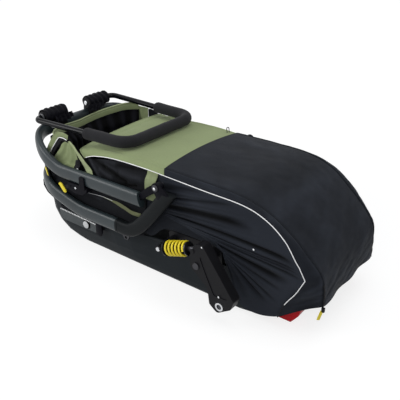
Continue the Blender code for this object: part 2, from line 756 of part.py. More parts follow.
def bend_depth(reach, bend, thick):
    """How far the faceted inside of a bend has left its straight line, cloth of this thickness on it."""
    if reach <= 0:
        return 0.0
    turn = math.radians(90 / BEND_STEPS)
    radius = bend - TUBE_WIDE / 2 - GAP - thick / math.cos(turn / 2)
    step = min(int(math.asin(min(1.0, reach / radius)) / turn), BEND_STEPS - 1)
    low, high = step * turn, (step + 1) * turn
    share = (reach / radius - math.sin(low)) / (math.sin(high) - math.sin(low))
    return radius * (1 - math.cos(low) + share * (math.cos(low) - math.cos(high)))


def inside_bar(y, front_x, bend, thick=0.0):
    """Where cloth of this thickness lies against the inside of a hoop's front bar."""
    return front_x + TUBE_WIDE / 2 + GAP + thick + bend_depth(abs(y) - FRAME_HALF + bend, bend, thick)


def inside_rail(x, front_x, bend, thick=0.0):
    """Where cloth lies against the inside of a hoop's left rail and bend."""
    return -FRAME_HALF + TUBE_WIDE / 2 + GAP + thick + bend_depth(front_x + bend - x, bend, thick)


def build_front_cloth():
    """Green hem band behind the hoop's front bar, and the window cloth below it."""
    top, low = HOOP_FRONT_Z - 0.0045, HOOP_FRONT_Z - 0.032
    rows = []
    for i in range(13):
        y = BAND_HALF * (i / 6 - 1)
        x = inside_bar(y, HOOP_FRONT_X, HOOP_BEND, CLOTH)
        rows.append([Vector((x + 0.004, y, low)), Vector((x + 0.002, y, (low + top) / 2)), Vector((x, y, top))])
    piece("front_hem_band", *cloth(rows), "green_cloth")
    rows = []
    foot = loop_z(LOOP_FRONT_X) - 0.012
    for i in range(13):
        share = i / 6 - 1
        row = []
        for j in range(6):
            t = j / 5
            y = share * (BAND_HALF + 0.024 - 0.022 * t)
            foot_x = inside_bar(y, LOOP_FRONT_X, LOOP_BEND, CLOTH + 0.0002)
            head_x = inside_bar(y, HOOP_FRONT_X, HOOP_BEND, CLOTH) + 0.004
            pleat = abs(0.006 * math.sin(math.pi * 5 * share) * math.sin(math.pi * t))
            x = foot_x + (head_x - foot_x) * max(0.0, (t - 0.35) / 0.65) + pleat
            row.append(Vector((x, y, foot + (low - 0.0006 - foot) * t)))
        rows.append(row)
    piece("front_window", *cloth(rows), "black_cloth", smooth=60)


def gusset_low():
    """Lower edge of the green corner cloth."""
    f, h = HOOP_FRONT_X, FRAME_HALF
    return [(f + 0.036, -h + 0.073, 0.284), (f + 0.116, -h + 0.038, 0.268), (f + 0.266, -h + 0.021, 0.284)]


def build_front_gusset(name, side):
    """Green corner cloth that joins the front window to the side."""
    f, h = HOOP_FRONT_X, FRAME_HALF
    corners_top = [(f + 0.040, -h + 0.094, HOOP_FRONT_Z - 0.010), (f + 0.120, -h + 0.058, 0.334),
                   (f + 0.272, -h + 0.021, 0.296)]
    rows = []
    for i in range(11):
        low, top = spline(gusset_low(), 2 * i / 10), spline(corners_top, 2 * i / 10)
        row = []
        for j in range(5):
            point = low.lerp(top, j / 4)
            point.y -= 0.004 * math.sin(math.pi * j / 4) * (1 - i / 10)
            row.append(point)
        rows.append(row)
    piece(f"{name}_front_gusset", *cloth(rows), "green_cloth", side, smooth=60)


def build_corner_webbing(name, side):
    """Webbing that carries the roof's corner on the hoop's knuckle."""
    inner = -(FRAME_HALF - TUBE_WIDE / 2)
    out, low = inner + 0.0008, PIVOT_Z - 0.038
    top = ROOF_Z - 0.030
    rows = []
    for i in range(5):
        x = PIVOT_X - 0.058 + 0.034 * i / 4
        line = [(out, low), (out, low + 0.020), (out + 0.004, top - 0.014), (-CABIN_HALF - 0.0028, top - 0.002),
                (-CABIN_HALF - 0.0004, top + 0.0115)]
        rows.append([Vector((x, y, z)) for y, z in line])
    piece(f"{name}_corner_webbing", *cloth(rows, 0.002), "green_cloth", side)


def build_rear_bow():
    """Tube bow that stands in the tub and holds the tail of the cover up."""
    radius, x = 0.007, 0.285
    s = 2 + (x - 0.28) / (REAR_X - 0.168 - 0.28)
    crown, seam = spline(crown_knots(), s), spline(seam_knots(), s)
    drop = CLOTH + GAP + 0.0010 + radius
    side_y = TUB_HALF - TUB_WALL - GAP - radius
    shoulder = -seam.y - 0.012
    points = [(x, -side_y, 0.085), (x, -side_y, 0.150), (x, -side_y, seam.z - 0.045), (x, -shoulder, seam.z - drop)]
    for share in (0.66, 0.33, 0.0):
        points.append((x, -shoulder * share, crown.z + (seam.z - crown.z) * share ** 2 - drop))
    points += [(x, -p[1], p[2]) for p in reversed(points[:-1])]
    path = fillet(points, [0, 0.03, 0.05, 0.040, 0, 0, 0, 0, 0, 0.040, 0.05, 0.03, 0], steps=2)
    section = circle((0, 0), radius, 8)
    rings = []
    for i, here in enumerate(path):
        along = (path[min(i + 1, len(path) - 1)] - path[max(i - 1, 0)]).normalized()
        out = along.cross(Vector((1, 0, 0)))
        rings.append([here + Vector((1, 0, 0)) * a + out * b for a, b in section])
    piece("rear_bow", *loft(rings), "black_tube")


# Handlebar
def handle_path():
    x = HOOP_FRONT_X + 0.008
    start = HUB_OUTER_Y - HUB_SOCKET + 0.004
    grip = x + HANDLE_LENGTH
    corners = [(x, -start), (x, -HANDLE_HALF), (grip, -GRIP_HALF), (grip, GRIP_HALF), (x, HANDLE_HALF), (x, start)]
    bends = [0, 0.033, 0.055, 0.055, 0.033, 0]
    return [Vector((p[0], p[1], HANDLE_Z)) for p in fillet(corners, bends, steps=5)]


def build_handlebar():
    path = handle_path()
    piece("handlebar_tube", *sweep(path, circle((0, 0), HANDLE_RADIUS, 10)), "black_tube")
    grip_x = HOOP_FRONT_X + 0.008 + HANDLE_LENGTH
    start = grip_x - FOAM_REACH
    covered = [p for p in path if p.x > start + 0.004]
    first, last = covered[0], covered[-1]
    before, after = path[path.index(first) - 1], path[path.index(last) + 1]

    def at_start(a, b):
        return a.lerp(b, (start - a.x) / (b.x - a.x))

    run = [at_start(before, first)] + covered + [at_start(after, last)]
    outer = circle((0, 0), FOAM_RADIUS, 10)
    bore = circle((0, 0), HANDLE_RADIUS + GAP, 10)
    piece("foam_grip", *sweep(run, outer, inner=bore), "foam", smooth=50)


def build_hub(name, side, hoop_room):
    """Locking hub on the hoop's front bar, its push button, and the collar on the handlebar."""
    x = HOOP_FRONT_X + 0.008
    centre = (x, HANDLE_Z)
    profile = [(HUB_RADIUS - 0.003, -HUB_INNER_Y), (HUB_RADIUS, -HUB_INNER_Y - 0.003),
               (HUB_RADIUS, -HUB_OUTER_Y + 0.004), (HUB_RADIUS - 0.003, -HUB_OUTER_Y)]
    hub = piece(f"{name}_handle_hub", *turned(profile[::-1], centre, 16), "black_plastic", side)
    low = HOOP_FRONT_Z - 0.004
    outline = [(x - 0.026, low), (x - 0.020, HANDLE_Z), (x + 0.020, HANDLE_Z), (x + 0.016, low)]
    boolean(hub, piece(f"{name}_saddle", *prism(outline, -SADDLE_OUTER_Y, -HUB_INNER_Y - 0.006),
                       "black_plastic", side), "UNION")
    boolean(hub, hoop_room)
    boolean(hub, cylinder(f"{name}_tube_socket", centre, HANDLE_RADIUS + 0.0006, -HUB_OUTER_Y - 0.01,
                          -HUB_OUTER_Y + HUB_SOCKET, "black_plastic", side, steps=20))
    boolean(hub, cylinder(f"{name}_button_room", centre, BUTTON_RADIUS + GAP, -HUB_INNER_Y - BUTTON_DEPTH,
                          -HUB_INNER_Y + 0.01, "black_plastic", side, steps=20))
    face = -HUB_INNER_Y + BUTTON_PROUD
    back = -HUB_INNER_Y - BUTTON_DEPTH + BUTTON_PROUD
    profile = [(BUTTON_RADIUS, back), (BUTTON_RADIUS, face - 0.0015), (BUTTON_RADIUS - 0.002, face)]
    piece(f"{name}_handle_button", *turned(profile, centre, 20), "steel", side,
          origin=(x, face, HANDLE_Z))


# Fold latch and strap
def build_latch(name, side):
    """Latch housing clipped under the rail, with its yellow thumb lever."""
    top = HOOP_RAIL_Z - TUBE_TALL / 2 - GAP
    rear = LATCH_FRONT_X + LATCH_LENGTH
    outer, inner = -(FRAME_HALF + 0.014), -(FRAME_HALF - 0.010)
    body = fillet([(LATCH_FRONT_X, top), (LATCH_FRONT_X, top - 0.024), (LATCH_FRONT_X + 0.03, top - 0.034),
                   (rear - 0.02, top - 0.030), (rear, top - 0.014), (rear, top)],
                  [0, 0.006, 0.02, 0.01, 0.006, 0], steps=3)
    housing = piece(f"{name}_latch_housing", *prism([(p[0], p[1]) for p in body], outer, inner),
                    "black_plastic", side)
    ear_out = -(FRAME_HALF + TUBE_WIDE / 2 + GAP)
    ear = fillet([(rear - 0.030, top - 0.008), (rear - 0.004, top - 0.008), (rear - 0.006, top + 0.036),
                  (rear - 0.026, top + 0.036)], 0.005, steps=3, closed=True)
    boolean(housing, piece(f"{name}_latch_ear", *prism([(p[0], p[1]) for p in ear], ear_out - 0.005, ear_out),
                           "black_plastic", side), "UNION")
    pin = (LATCH_FRONT_X + 0.010, top - 0.014)
    slot = -(FRAME_HALF + 0.007), -(FRAME_HALF - 0.005)
    boolean(housing, piece(f"{name}_lever_slot", *prism(
        [(LATCH_FRONT_X - 0.02, top - 0.060), (LATCH_FRONT_X + 0.024, top - 0.060),
         (LATCH_FRONT_X + 0.024, top - 0.003), (LATCH_FRONT_X - 0.02, top - 0.003)], *slot), "black_plastic", side))
    lever_y = slot[0] + 0.0005, slot[1] - 0.0005
    tip = [(LATCH_FRONT_X - 0.047, pin[1] - 0.020), (LATCH_FRONT_X - 0.038, pin[1] - 0.027)]
    outline = tangent_hull(pin, 0.0068, tip, 6)
    lever = piece(f"{name}_latch_lever", *prism(outline, *lever_y), "yellow", side,
                  origin=(pin[0], -FRAME_HALF, pin[1]))
    boolean(lever, cylinder(f"{name}_lever_bore", pin, 0.0028, outer - 0.01, inner + 0.01, "yellow", side, 12))
    profile = [(0.0042, outer - 0.0016), (0.0042, outer + 0.0005), (0.0025, outer + 0.0005), (0.0025, inner - 0.001)]
    boolean(housing, piece(f"{name}_lever_pin", *turned(profile, pin, 12), "black_plastic", side), "UNION")


def tube_face(path, x, sign):
    """Point on the top (1) or underside (-1) of a hoop's left side at x, a gap off it."""
    edge = []
    for before, here, after in zip(path, path[1:], path[2:]):
        along = (after - before).normalized()
        up = along.cross(Vector((0, 0, 1)).cross(along).normalized())
        edge.append(here + up * (TUBE_TALL / 2 + GAP) * sign)
    for here, after in zip(edge, edge[1:]):
        if after.x <= x <= here.x:
            return here.lerp(after, (x - here.x) / (after.x - here.x))
    raise ValueError("The strap must lie beside both hoops.")


def build_fold_strap():
    """Webbing between the folded hoops, with its yellow pull tab."""
    rows, tab = [], []
    under, over = u_path(LOOP_END_X, LOOP_FRONT_X, LOOP_BEND, loop_z), hoop_path()
    for i in range(5):
        x = STRAP_X + 0.020 * (i / 4 - 0.5)
        foot = tube_face(under, x, 1) + Vector((0, -0.001, 0.0001))
        head = tube_face(over, x, -1) + Vector((0, -0.001, -0.0007))
        rows.append([foot.lerp(head, t) for t in (0, 0.5, 1)])
    piece("fold_strap", *cloth(rows, 0.002), "black_cloth")
    for i in (1, 2, 3):
        low, middle, high = rows[i]
        tab.append([low.lerp(high, t) + Vector((0, -0.0023 - 0.003 * t, 0)) for t in (0.14, 0.35, 0.62)])
    piece("strap_tab", *cloth(tab, 0.002), "yellow")


# Suspension
def arm_outline():
    """Side view of the swing arm, fitted round its pivot, strut end and axle."""
    px, pz, ax, az = ARM_PIVOT_X, ARM_PIVOT_Z, AXLE_X, AXLE_Z
    sx, sz = STRUT_REAR_X, STRUT_REAR_Z
    corners = [(sx - 0.010, sz - 0.016), (sx + 0.008, sz + 0.024), (sx + 0.034, sz + 0.030),
               (ax + 0.047, az + 0.034), (ax + 0.038, az + 0.006), (ax - 0.007, az - 0.024),
               (ax - 0.034, az - 0.004), (ax - 0.041, az + 0.044), (px + 0.003, pz - 0.027),
               (px - 0.020, pz - 0.012)]
    radii = [0.006, 0.008, 0.010, 0.012, 0.012, 0.012, 0.010, 0.03, 0.012, 0.010]
    return [(p[0], p[1]) for p in fillet(corners, radii, steps=3, closed=True)]


def build_arm(name, side):
    """Cast swing arm with a sunk outer face, a strut fork and an axle bush."""
    pivot, axle, strut = (ARM_PIVOT_X, ARM_PIVOT_Z), (AXLE_X, AXLE_Z), (STRUT_REAR_X, STRUT_REAR_Z)
    outline = arm_outline()
    arm = piece(f"{name}_swing_arm", *prism(outline, -ARM_OUTER_Y, -ARM_INNER_Y), "black_plastic", side,
                origin=(pivot[0], -ARM_INNER_Y, pivot[1]))
    sunk = [(pivot[0] + 0.010, pivot[1] + 0.034), (pivot[0] + 0.024, pivot[1] + 0.036),
            (axle[0] + 0.034, axle[1] + 0.032), (axle[0] - 0.020, axle[1] + 0.030),
            (pivot[0] + 0.034, pivot[1] - 0.020)]
    pocket = fillet(sunk, 0.007, steps=3, closed=True)
    boolean(arm, piece(f"{name}_arm_pocket", *prism([(p[0], p[1]) for p in pocket], -ARM_OUTER_Y - 0.01,
                                                    -ARM_OUTER_Y + 0.002), "black_plastic", side))
    fork = [(strut[0] - 0.030, strut[1] - 0.019), (strut[0] + 0.020, strut[1] - 0.013),
            (strut[0] + 0.020, strut[1] + 0.040), (strut[0] - 0.030, strut[1] + 0.040)]
    boolean(arm, piece(f"{name}_fork_slot", *prism(fork, -STRUT_Y - 0.009, -STRUT_Y + 0.009), "black_plastic", side))
    for label, centre, radius in (("pivot", pivot, 0.0063), ("axle", axle, AXLE_BORE + BUSH_WALL + GAP)):
        boolean(arm, cylinder(f"{name}_{label}_hole", centre, radius, -ARM_OUTER_Y - 0.01, -ARM_INNER_Y + 0.01,
                              "black_plastic", side, steps=24 if label == "axle" else 16))
    cylinder(f"{name}_axle_bush", axle, AXLE_BORE + BUSH_WALL, -ARM_OUTER_Y - 0.0015, -ARM_INNER_Y + 0.0015, "steel",
             side, steps=24, bore=AXLE_BORE)
    profile = [(0.0062, -ARM_OUTER_Y - 0.0030), (0.0070, -ARM_OUTER_Y - 0.0012), (0.0070, -ARM_OUTER_Y + 0.0010),
               (0.0040, -ARM_OUTER_Y + 0.0010), (0.0040, -ARM_INNER_Y - 0.002)]
    boolean(arm, piece(f"{name}_strut_pin", *turned(profile, strut, 12), "black_plastic", side), "UNION")
    head = [(0.0090, -ARM_OUTER_Y - 0.0050), (0.0105, -ARM_OUTER_Y - 0.0030), (0.0105, -ARM_OUTER_Y - GAP),
            (0.0060, -ARM_OUTER_Y - GAP), (0.0060, -ARM_INNER_Y + 0.030)]
    piece(f"{name}_arm_bolt", *turned(head, pivot, 16), "steel", side)


def build_bracket(name, side):
    """Bracket on the tub's side that carries the arm's boss and the strut's front lugs."""
    wall = -TUB_HALF - GAP
    plate = [(STRUT_FRONT_X - 0.024, ARM_PIVOT_Z + 0.020), (STRUT_FRONT_X - 0.020, ARM_PIVOT_Z - 0.022),
             (ARM_PIVOT_X + 0.014, ARM_PIVOT_Z - 0.050), (ARM_PIVOT_X + 0.030, ARM_PIVOT_Z - 0.030),
             (ARM_PIVOT_X + 0.026, ARM_PIVOT_Z + 0.024)]
    shape = [(p[0], p[1]) for p in fillet(plate, 0.010, steps=3, closed=True)]
    low = min(b for a, b in shape)
    if low < 0:
        raise ValueError("The bracket must stay above the floor.")
    bracket = piece(f"{name}_arm_bracket", *prism(shape, wall - 0.009, wall), "black_plastic", side)
    boss = cylinder(f"{name}_arm_boss", (ARM_PIVOT_X, ARM_PIVOT_Z), 0.017, -ARM_INNER_Y + GAP, wall - 0.004,
                    "black_plastic", side, steps=20)
    boolean(bracket, boss, "UNION")
    lug = tangent_hull((STRUT_FRONT_X, STRUT_FRONT_Z), 0.012, [(STRUT_FRONT_X - 0.017, STRUT_FRONT_Z - 0.016),
                                                               (STRUT_FRONT_X - 0.010, STRUT_FRONT_Z - 0.020)], 8)
    boolean(bracket, piece(f"{name}_strut_lug", *prism(lug, -STRUT_Y + 0.0085, wall - 0.004), "black_plastic", side),
            "UNION")
    boolean(bracket, cylinder(f"{name}_boss_bore", (ARM_PIVOT_X, ARM_PIVOT_Z), 0.0063, -ARM_INNER_Y - 0.01,
                              -ARM_INNER_Y + 0.034, "black_plastic", side))
    boolean(bracket, cylinder(f"{name}_lug_hole", (STRUT_FRONT_X, STRUT_FRONT_Z), 0.0043, -STRUT_Y - 0.02,
                              -STRUT_Y + 0.024, "black_plastic", side, steps=12))


def strut_frame():
    """Origin and unit vector of the strut, from its front eye to its rear eye."""
    start = Vector((STRUT_FRONT_X, -STRUT_Y, STRUT_FRONT_Z))
    end = Vector((STRUT_REAR_X, -STRUT_Y, STRUT_REAR_Z))
    return start, (end - start).normalized(), (end - start).length


def along_strut(profile, steps=14):
    """Turn (distance, radius) points about the strut's line."""
    start, along, length = strut_frame()
    across = Vector((0, 1, 0))
    up = along.cross(across)
    rings = []
    for distance, radius in profile:
        rings.append([start + along * distance + across * (radius * math.cos(t)) + up * (radius * math.sin(t))
                      for t in (2 * math.pi * i / steps for i in range(steps))])
    return loft(rings)


def build_strut(name, side):
    """Damper body, its rod and the coil spring between their seats."""
    start, along, length = strut_frame()
    body = piece(f"{name}_strut_body", *along_strut([
        (0.005, 0.0072), (0.0130, 0.0076), (0.019, 0.0115), (SPRING_START - SEAT_THICK, 0.0115),
        (SPRING_START - SEAT_THICK, SEAT_RADIUS), (SPRING_START, SEAT_RADIUS), (SPRING_START, 0.0115),
        (0.074, 0.0115)]), "black_plastic", side)
    eye = cylinder(f"{name}_strut_eye", (STRUT_FRONT_X, STRUT_FRONT_Z), 0.0105, -STRUT_Y - 0.008, -STRUT_Y + 0.008,
                   "black_plastic", side)
    boolean(body, eye, "UNION")
    boolean(body, piece(f"{name}_rod_room", *along_strut([(0.040, ROD_RADIUS + RUNNING), (0.1, ROD_RADIUS + RUNNING)]),
                        "black_plastic", side))
    boolean(body, cylinder(f"{name}_eye_hole", (STRUT_FRONT_X, STRUT_FRONT_Z), 0.0043, -STRUT_Y - 0.02,
                           -STRUT_Y + 0.02, "black_plastic", side, steps=12))
    rod = piece(f"{name}_strut_rod", *along_strut([
        (0.052, ROD_RADIUS), (SPRING_END, ROD_RADIUS), (SPRING_END, SEAT_RADIUS - 0.003),
        (SPRING_END + SEAT_THICK * 0.7, SEAT_RADIUS - 0.003), (SPRING_END + SEAT_THICK, 0.0085),
        (length - 0.004, 0.0075)]), "steel", side)
    boolean(rod, cylinder(f"{name}_rod_eye", (STRUT_REAR_X, STRUT_REAR_Z), 0.0100, -STRUT_Y - 0.006, -STRUT_Y + 0.006,
                          "steel", side), "UNION")
    boolean(rod, cylinder(f"{name}_rod_hole", (STRUT_REAR_X, STRUT_REAR_Z), 0.0062, -STRUT_Y - 0.02, -STRUT_Y + 0.02,
                          "steel", side, steps=16))
    pin = [(0.0062, -STRUT_Y - 0.0125), (0.0070, -STRUT_Y - 0.0110), (0.0070, -STRUT_Y - 0.0083),
           (0.0040, -STRUT_Y - 0.0083), (0.0040, -STRUT_Y + 0.020)]
    piece(f"{name}_strut_bolt", *turned(pin, (STRUT_FRONT_X, STRUT_FRONT_Z), 12), "steel", side)


def spring_points():
    """Points of the coil, whose end turns lie close to the seats."""
    start, along, length = strut_frame()
    across = Vector((0, 1, 0))
    up = along.cross(across)
    low = SPRING_START + GAP + WIRE_RADIUS
    high = SPRING_END - GAP - WIRE_RADIUS
    count = int(SPRING_TURNS * POINTS_PER_CURL)
    points = []
    for i in range(count + 1):
        angle = 2 * math.pi * i / POINTS_PER_CURL
        reach = low + (high - low) * i / count
        points.append(start + along * reach + (across * math.cos(angle) + up * math.sin(angle)) * SPRING_RADIUS)
    return points


def build_spring(name, side):
    """The yellow coil as one unbroken tube."""
    points = spring_points()
    curve = bpy.data.curves.new(f"{name}_spring", "CURVE")
    curve.dimensions = "3D"
    curve.bevel_depth = WIRE_RADIUS
    curve.bevel_resolution = 1
    curve.use_fill_caps = True
    line = curve.splines.new("POLY")
    line.points.add(len(points) - 1)
    for place, point in zip(line.points, points):
        place.co = (point.x, point.y if side < 0 else -point.y, point.z, 1.0)
    obj = bpy.data.objects.new(f"{name}_spring", curve)
    bpy.context.scene.collection.objects.link(obj)
    curve.materials.append(material("yellow"))
    return obj


def report_spring_gap():
    """Print the coil's least gap to itself, measured on its points."""
    points = spring_points()
    far = POINTS_PER_CURL // 2
    least = min((a - b).length for i, a in enumerate(points) for b in points[i + far:])
    print(f"least gap between spring turns: {(least - 2 * WIRE_RADIUS) * 1000:.2f} mm")


# Drawbar socket, left side only
def build_drawbar_socket(tub_room):
    """Receiver for the tow arm's flat bar, with ribs along its top and a release button."""
    front, rear = SOCKET_FRONT_X, SOCKET_FRONT_X + SOCKET_LENGTH
    low, top = SOCKET_LOW_Z, SOCKET_LOW_Z + SOCKET_TALL
    outer = -TUB_HALF - SOCKET_DEEP
    inner = -TUB_HALF + 0.006
    outline = fillet([(front, low + 0.008), (front + 0.010, low), (rear - 0.006, low), (rear, low + 0.008),
                      (rear, top - 0.004), (rear - 0.004, top), (front, top)], [0.004, 0.01, 0.004, 0.004, 0, 0, 0.003],
                     steps=2, closed=True)
    socket = piece("drawbar_socket", *prism([(p[0], p[1]) for p in outline], outer, inner), "black_plastic")
    tooth = SOCKET_LENGTH * 0.80 / SOCKET_TEETH
    comb = [(front + 0.008, top - 0.0065)]
    for i in range(SOCKET_TEETH):
        x = front + 0.012 + tooth * i
        comb += [(x, top - 0.004), (x + tooth * 0.1, top + 0.0032), (x + tooth * 0.5, top + 0.0032),
                 (x + tooth * 0.6, top - 0.004)]
    comb.append((front + 0.014 + tooth * SOCKET_TEETH, top - 0.0065))
    boolean(socket, piece("socket_ribs", *prism(comb, outer - 0.0012, outer + 0.005), "black_plastic"), "UNION")
    middle, half = (low + top) / 2 - 0.001, SOCKET_BORE / 2
    slot = [(outer + 0.0025, middle - half), (outer + 0.0025 + SOCKET_SLOT, middle - half),
            (outer + 0.0025 + SOCKET_SLOT, middle + half), (outer + 0.0025, middle + half)]
    boolean(socket, tub_room)
    boolean(socket, piece("socket_bore", *prism(slot, front - 0.02, front + SOCKET_LENGTH * 0.60, "X"),
                          "black_plastic"))
    button = (front + SOCKET_LENGTH * 0.74, middle)
    boolean(socket, cylinder("button_room", button, 0.0093, outer - 0.01, outer + 0.009, "black_plastic", steps=20))
    profile = [(0.0070, outer - 0.0045), (0.0090, outer - 0.0030), (0.0090, outer + 0.0040)]
    piece("drawbar_button", *turned(profile, button, 20), "steel", origin=(button[0], outer, button[1]))
    hook = fillet([(rear + GAP, low + 0.006), (rear + 0.016, low + 0.008), (rear + 0.019, low + 0.022),
                   (rear + 0.012, top - 0.002), (rear + GAP, top - 0.002)], [0, 0.006, 0.008, 0.006, 0], steps=3)
    end = piece("drawbar_catch", *prism([(p[0], p[1]) for p in hook], outer + 0.002, inner), "black_plastic")
    boolean(end, tub_room)
    boolean(end, cylinder("catch_hole", (rear + 0.009, middle + 0.003), 0.0040, outer - 0.01, outer + 0.010,
                          "black_plastic", steps=12))


def build_reflector(name, side, tub_room):
    """Red rear reflector on the tub's tail, under the cover's hem."""
    x = TUB_REAR_X
    corners = [(x - 0.060, 0.067), (x + 0.050, 0.060), (x + 0.046, 0.040), (x + 0.022, 0.008), (x - 0.060, 0.008)]
    outline = [(p[0], p[1]) for p in fillet(corners, [0, 0.006, 0.02, 0.006, 0], steps=3)]
    half = CABIN_HALF - 0.046
    lens = piece(f"{name}_reflector", *prism(outline, -half, -half + 0.046), "red_lens", side)
    boolean(lens, tub_room)


def build_zips():
    """Zip sliders at the ends of the cover's seams, the rear one with a yellow pull."""
    seam = seam_knots()[-1]
    x, y, top = seam[0] - 0.002, seam[1] + 0.001, seam[2] - 0.0022
    verts, faces = prism([(x - 0.004, top - 0.014), (x + 0.004, top - 0.014), (x + 0.0045, top), (x - 0.0045, top)],
                         y - 0.003, y + 0.003)
    piece("rear_zip_slider", verts, faces, "black_plastic")
    verts, faces = prism([(x - 0.015, top - 0.034), (x - 0.011, top - 0.036), (x + 0.0025, top - 0.0143),
                          (x - 0.0030, top - 0.0143)], y - 0.0015, y + 0.0015)
    piece("rear_zip_pull", verts, faces, "yellow")


def main():
    """Build every piece of the trailer."""
    clear_scene()
    build_hoops()
    section = oval(TUBE_WIDE + 2 * GAP, TUBE_TALL + 2 * GAP)
    hoop_room = piece("hoop_room", *sweep(hoop_path(), section), "black_tube")
    tub_room = build_tub()
    build_rear_bow()
    build_rear_cover()
    build_green_roof()
    build_front_cloth()
    build_handlebar()
    for name, side in (("left", -1), ("right", 1)):
        build_pivot(name, side)
        build_tie_ring(name, side)
        build_hub(name, side, hoop_room)
        build_latch(name, side)
        build_side_panel(name, side)
        build_side_window(name, side)
        build_front_gusset(name, side)
        build_corner_webbing(name, side)
        build_bracket(name, side)
        build_arm(name, side)
        build_strut(name, side)
        build_spring(name, side)
        build_reflector(name, side, tub_room)
    build_fold_strap()
    build_drawbar_socket(tub_room)
    build_zips()
    report_spring_gap()


main()
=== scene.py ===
"""Looks for the dog bike trailer, folded flat with its wheels off.

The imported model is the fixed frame. Metres, +Z up. The trailer travels towards -X, its
left side is at -Y, and the origin is on the underside of the tub. Points are written for
the left side and mirrored for the right.
"""

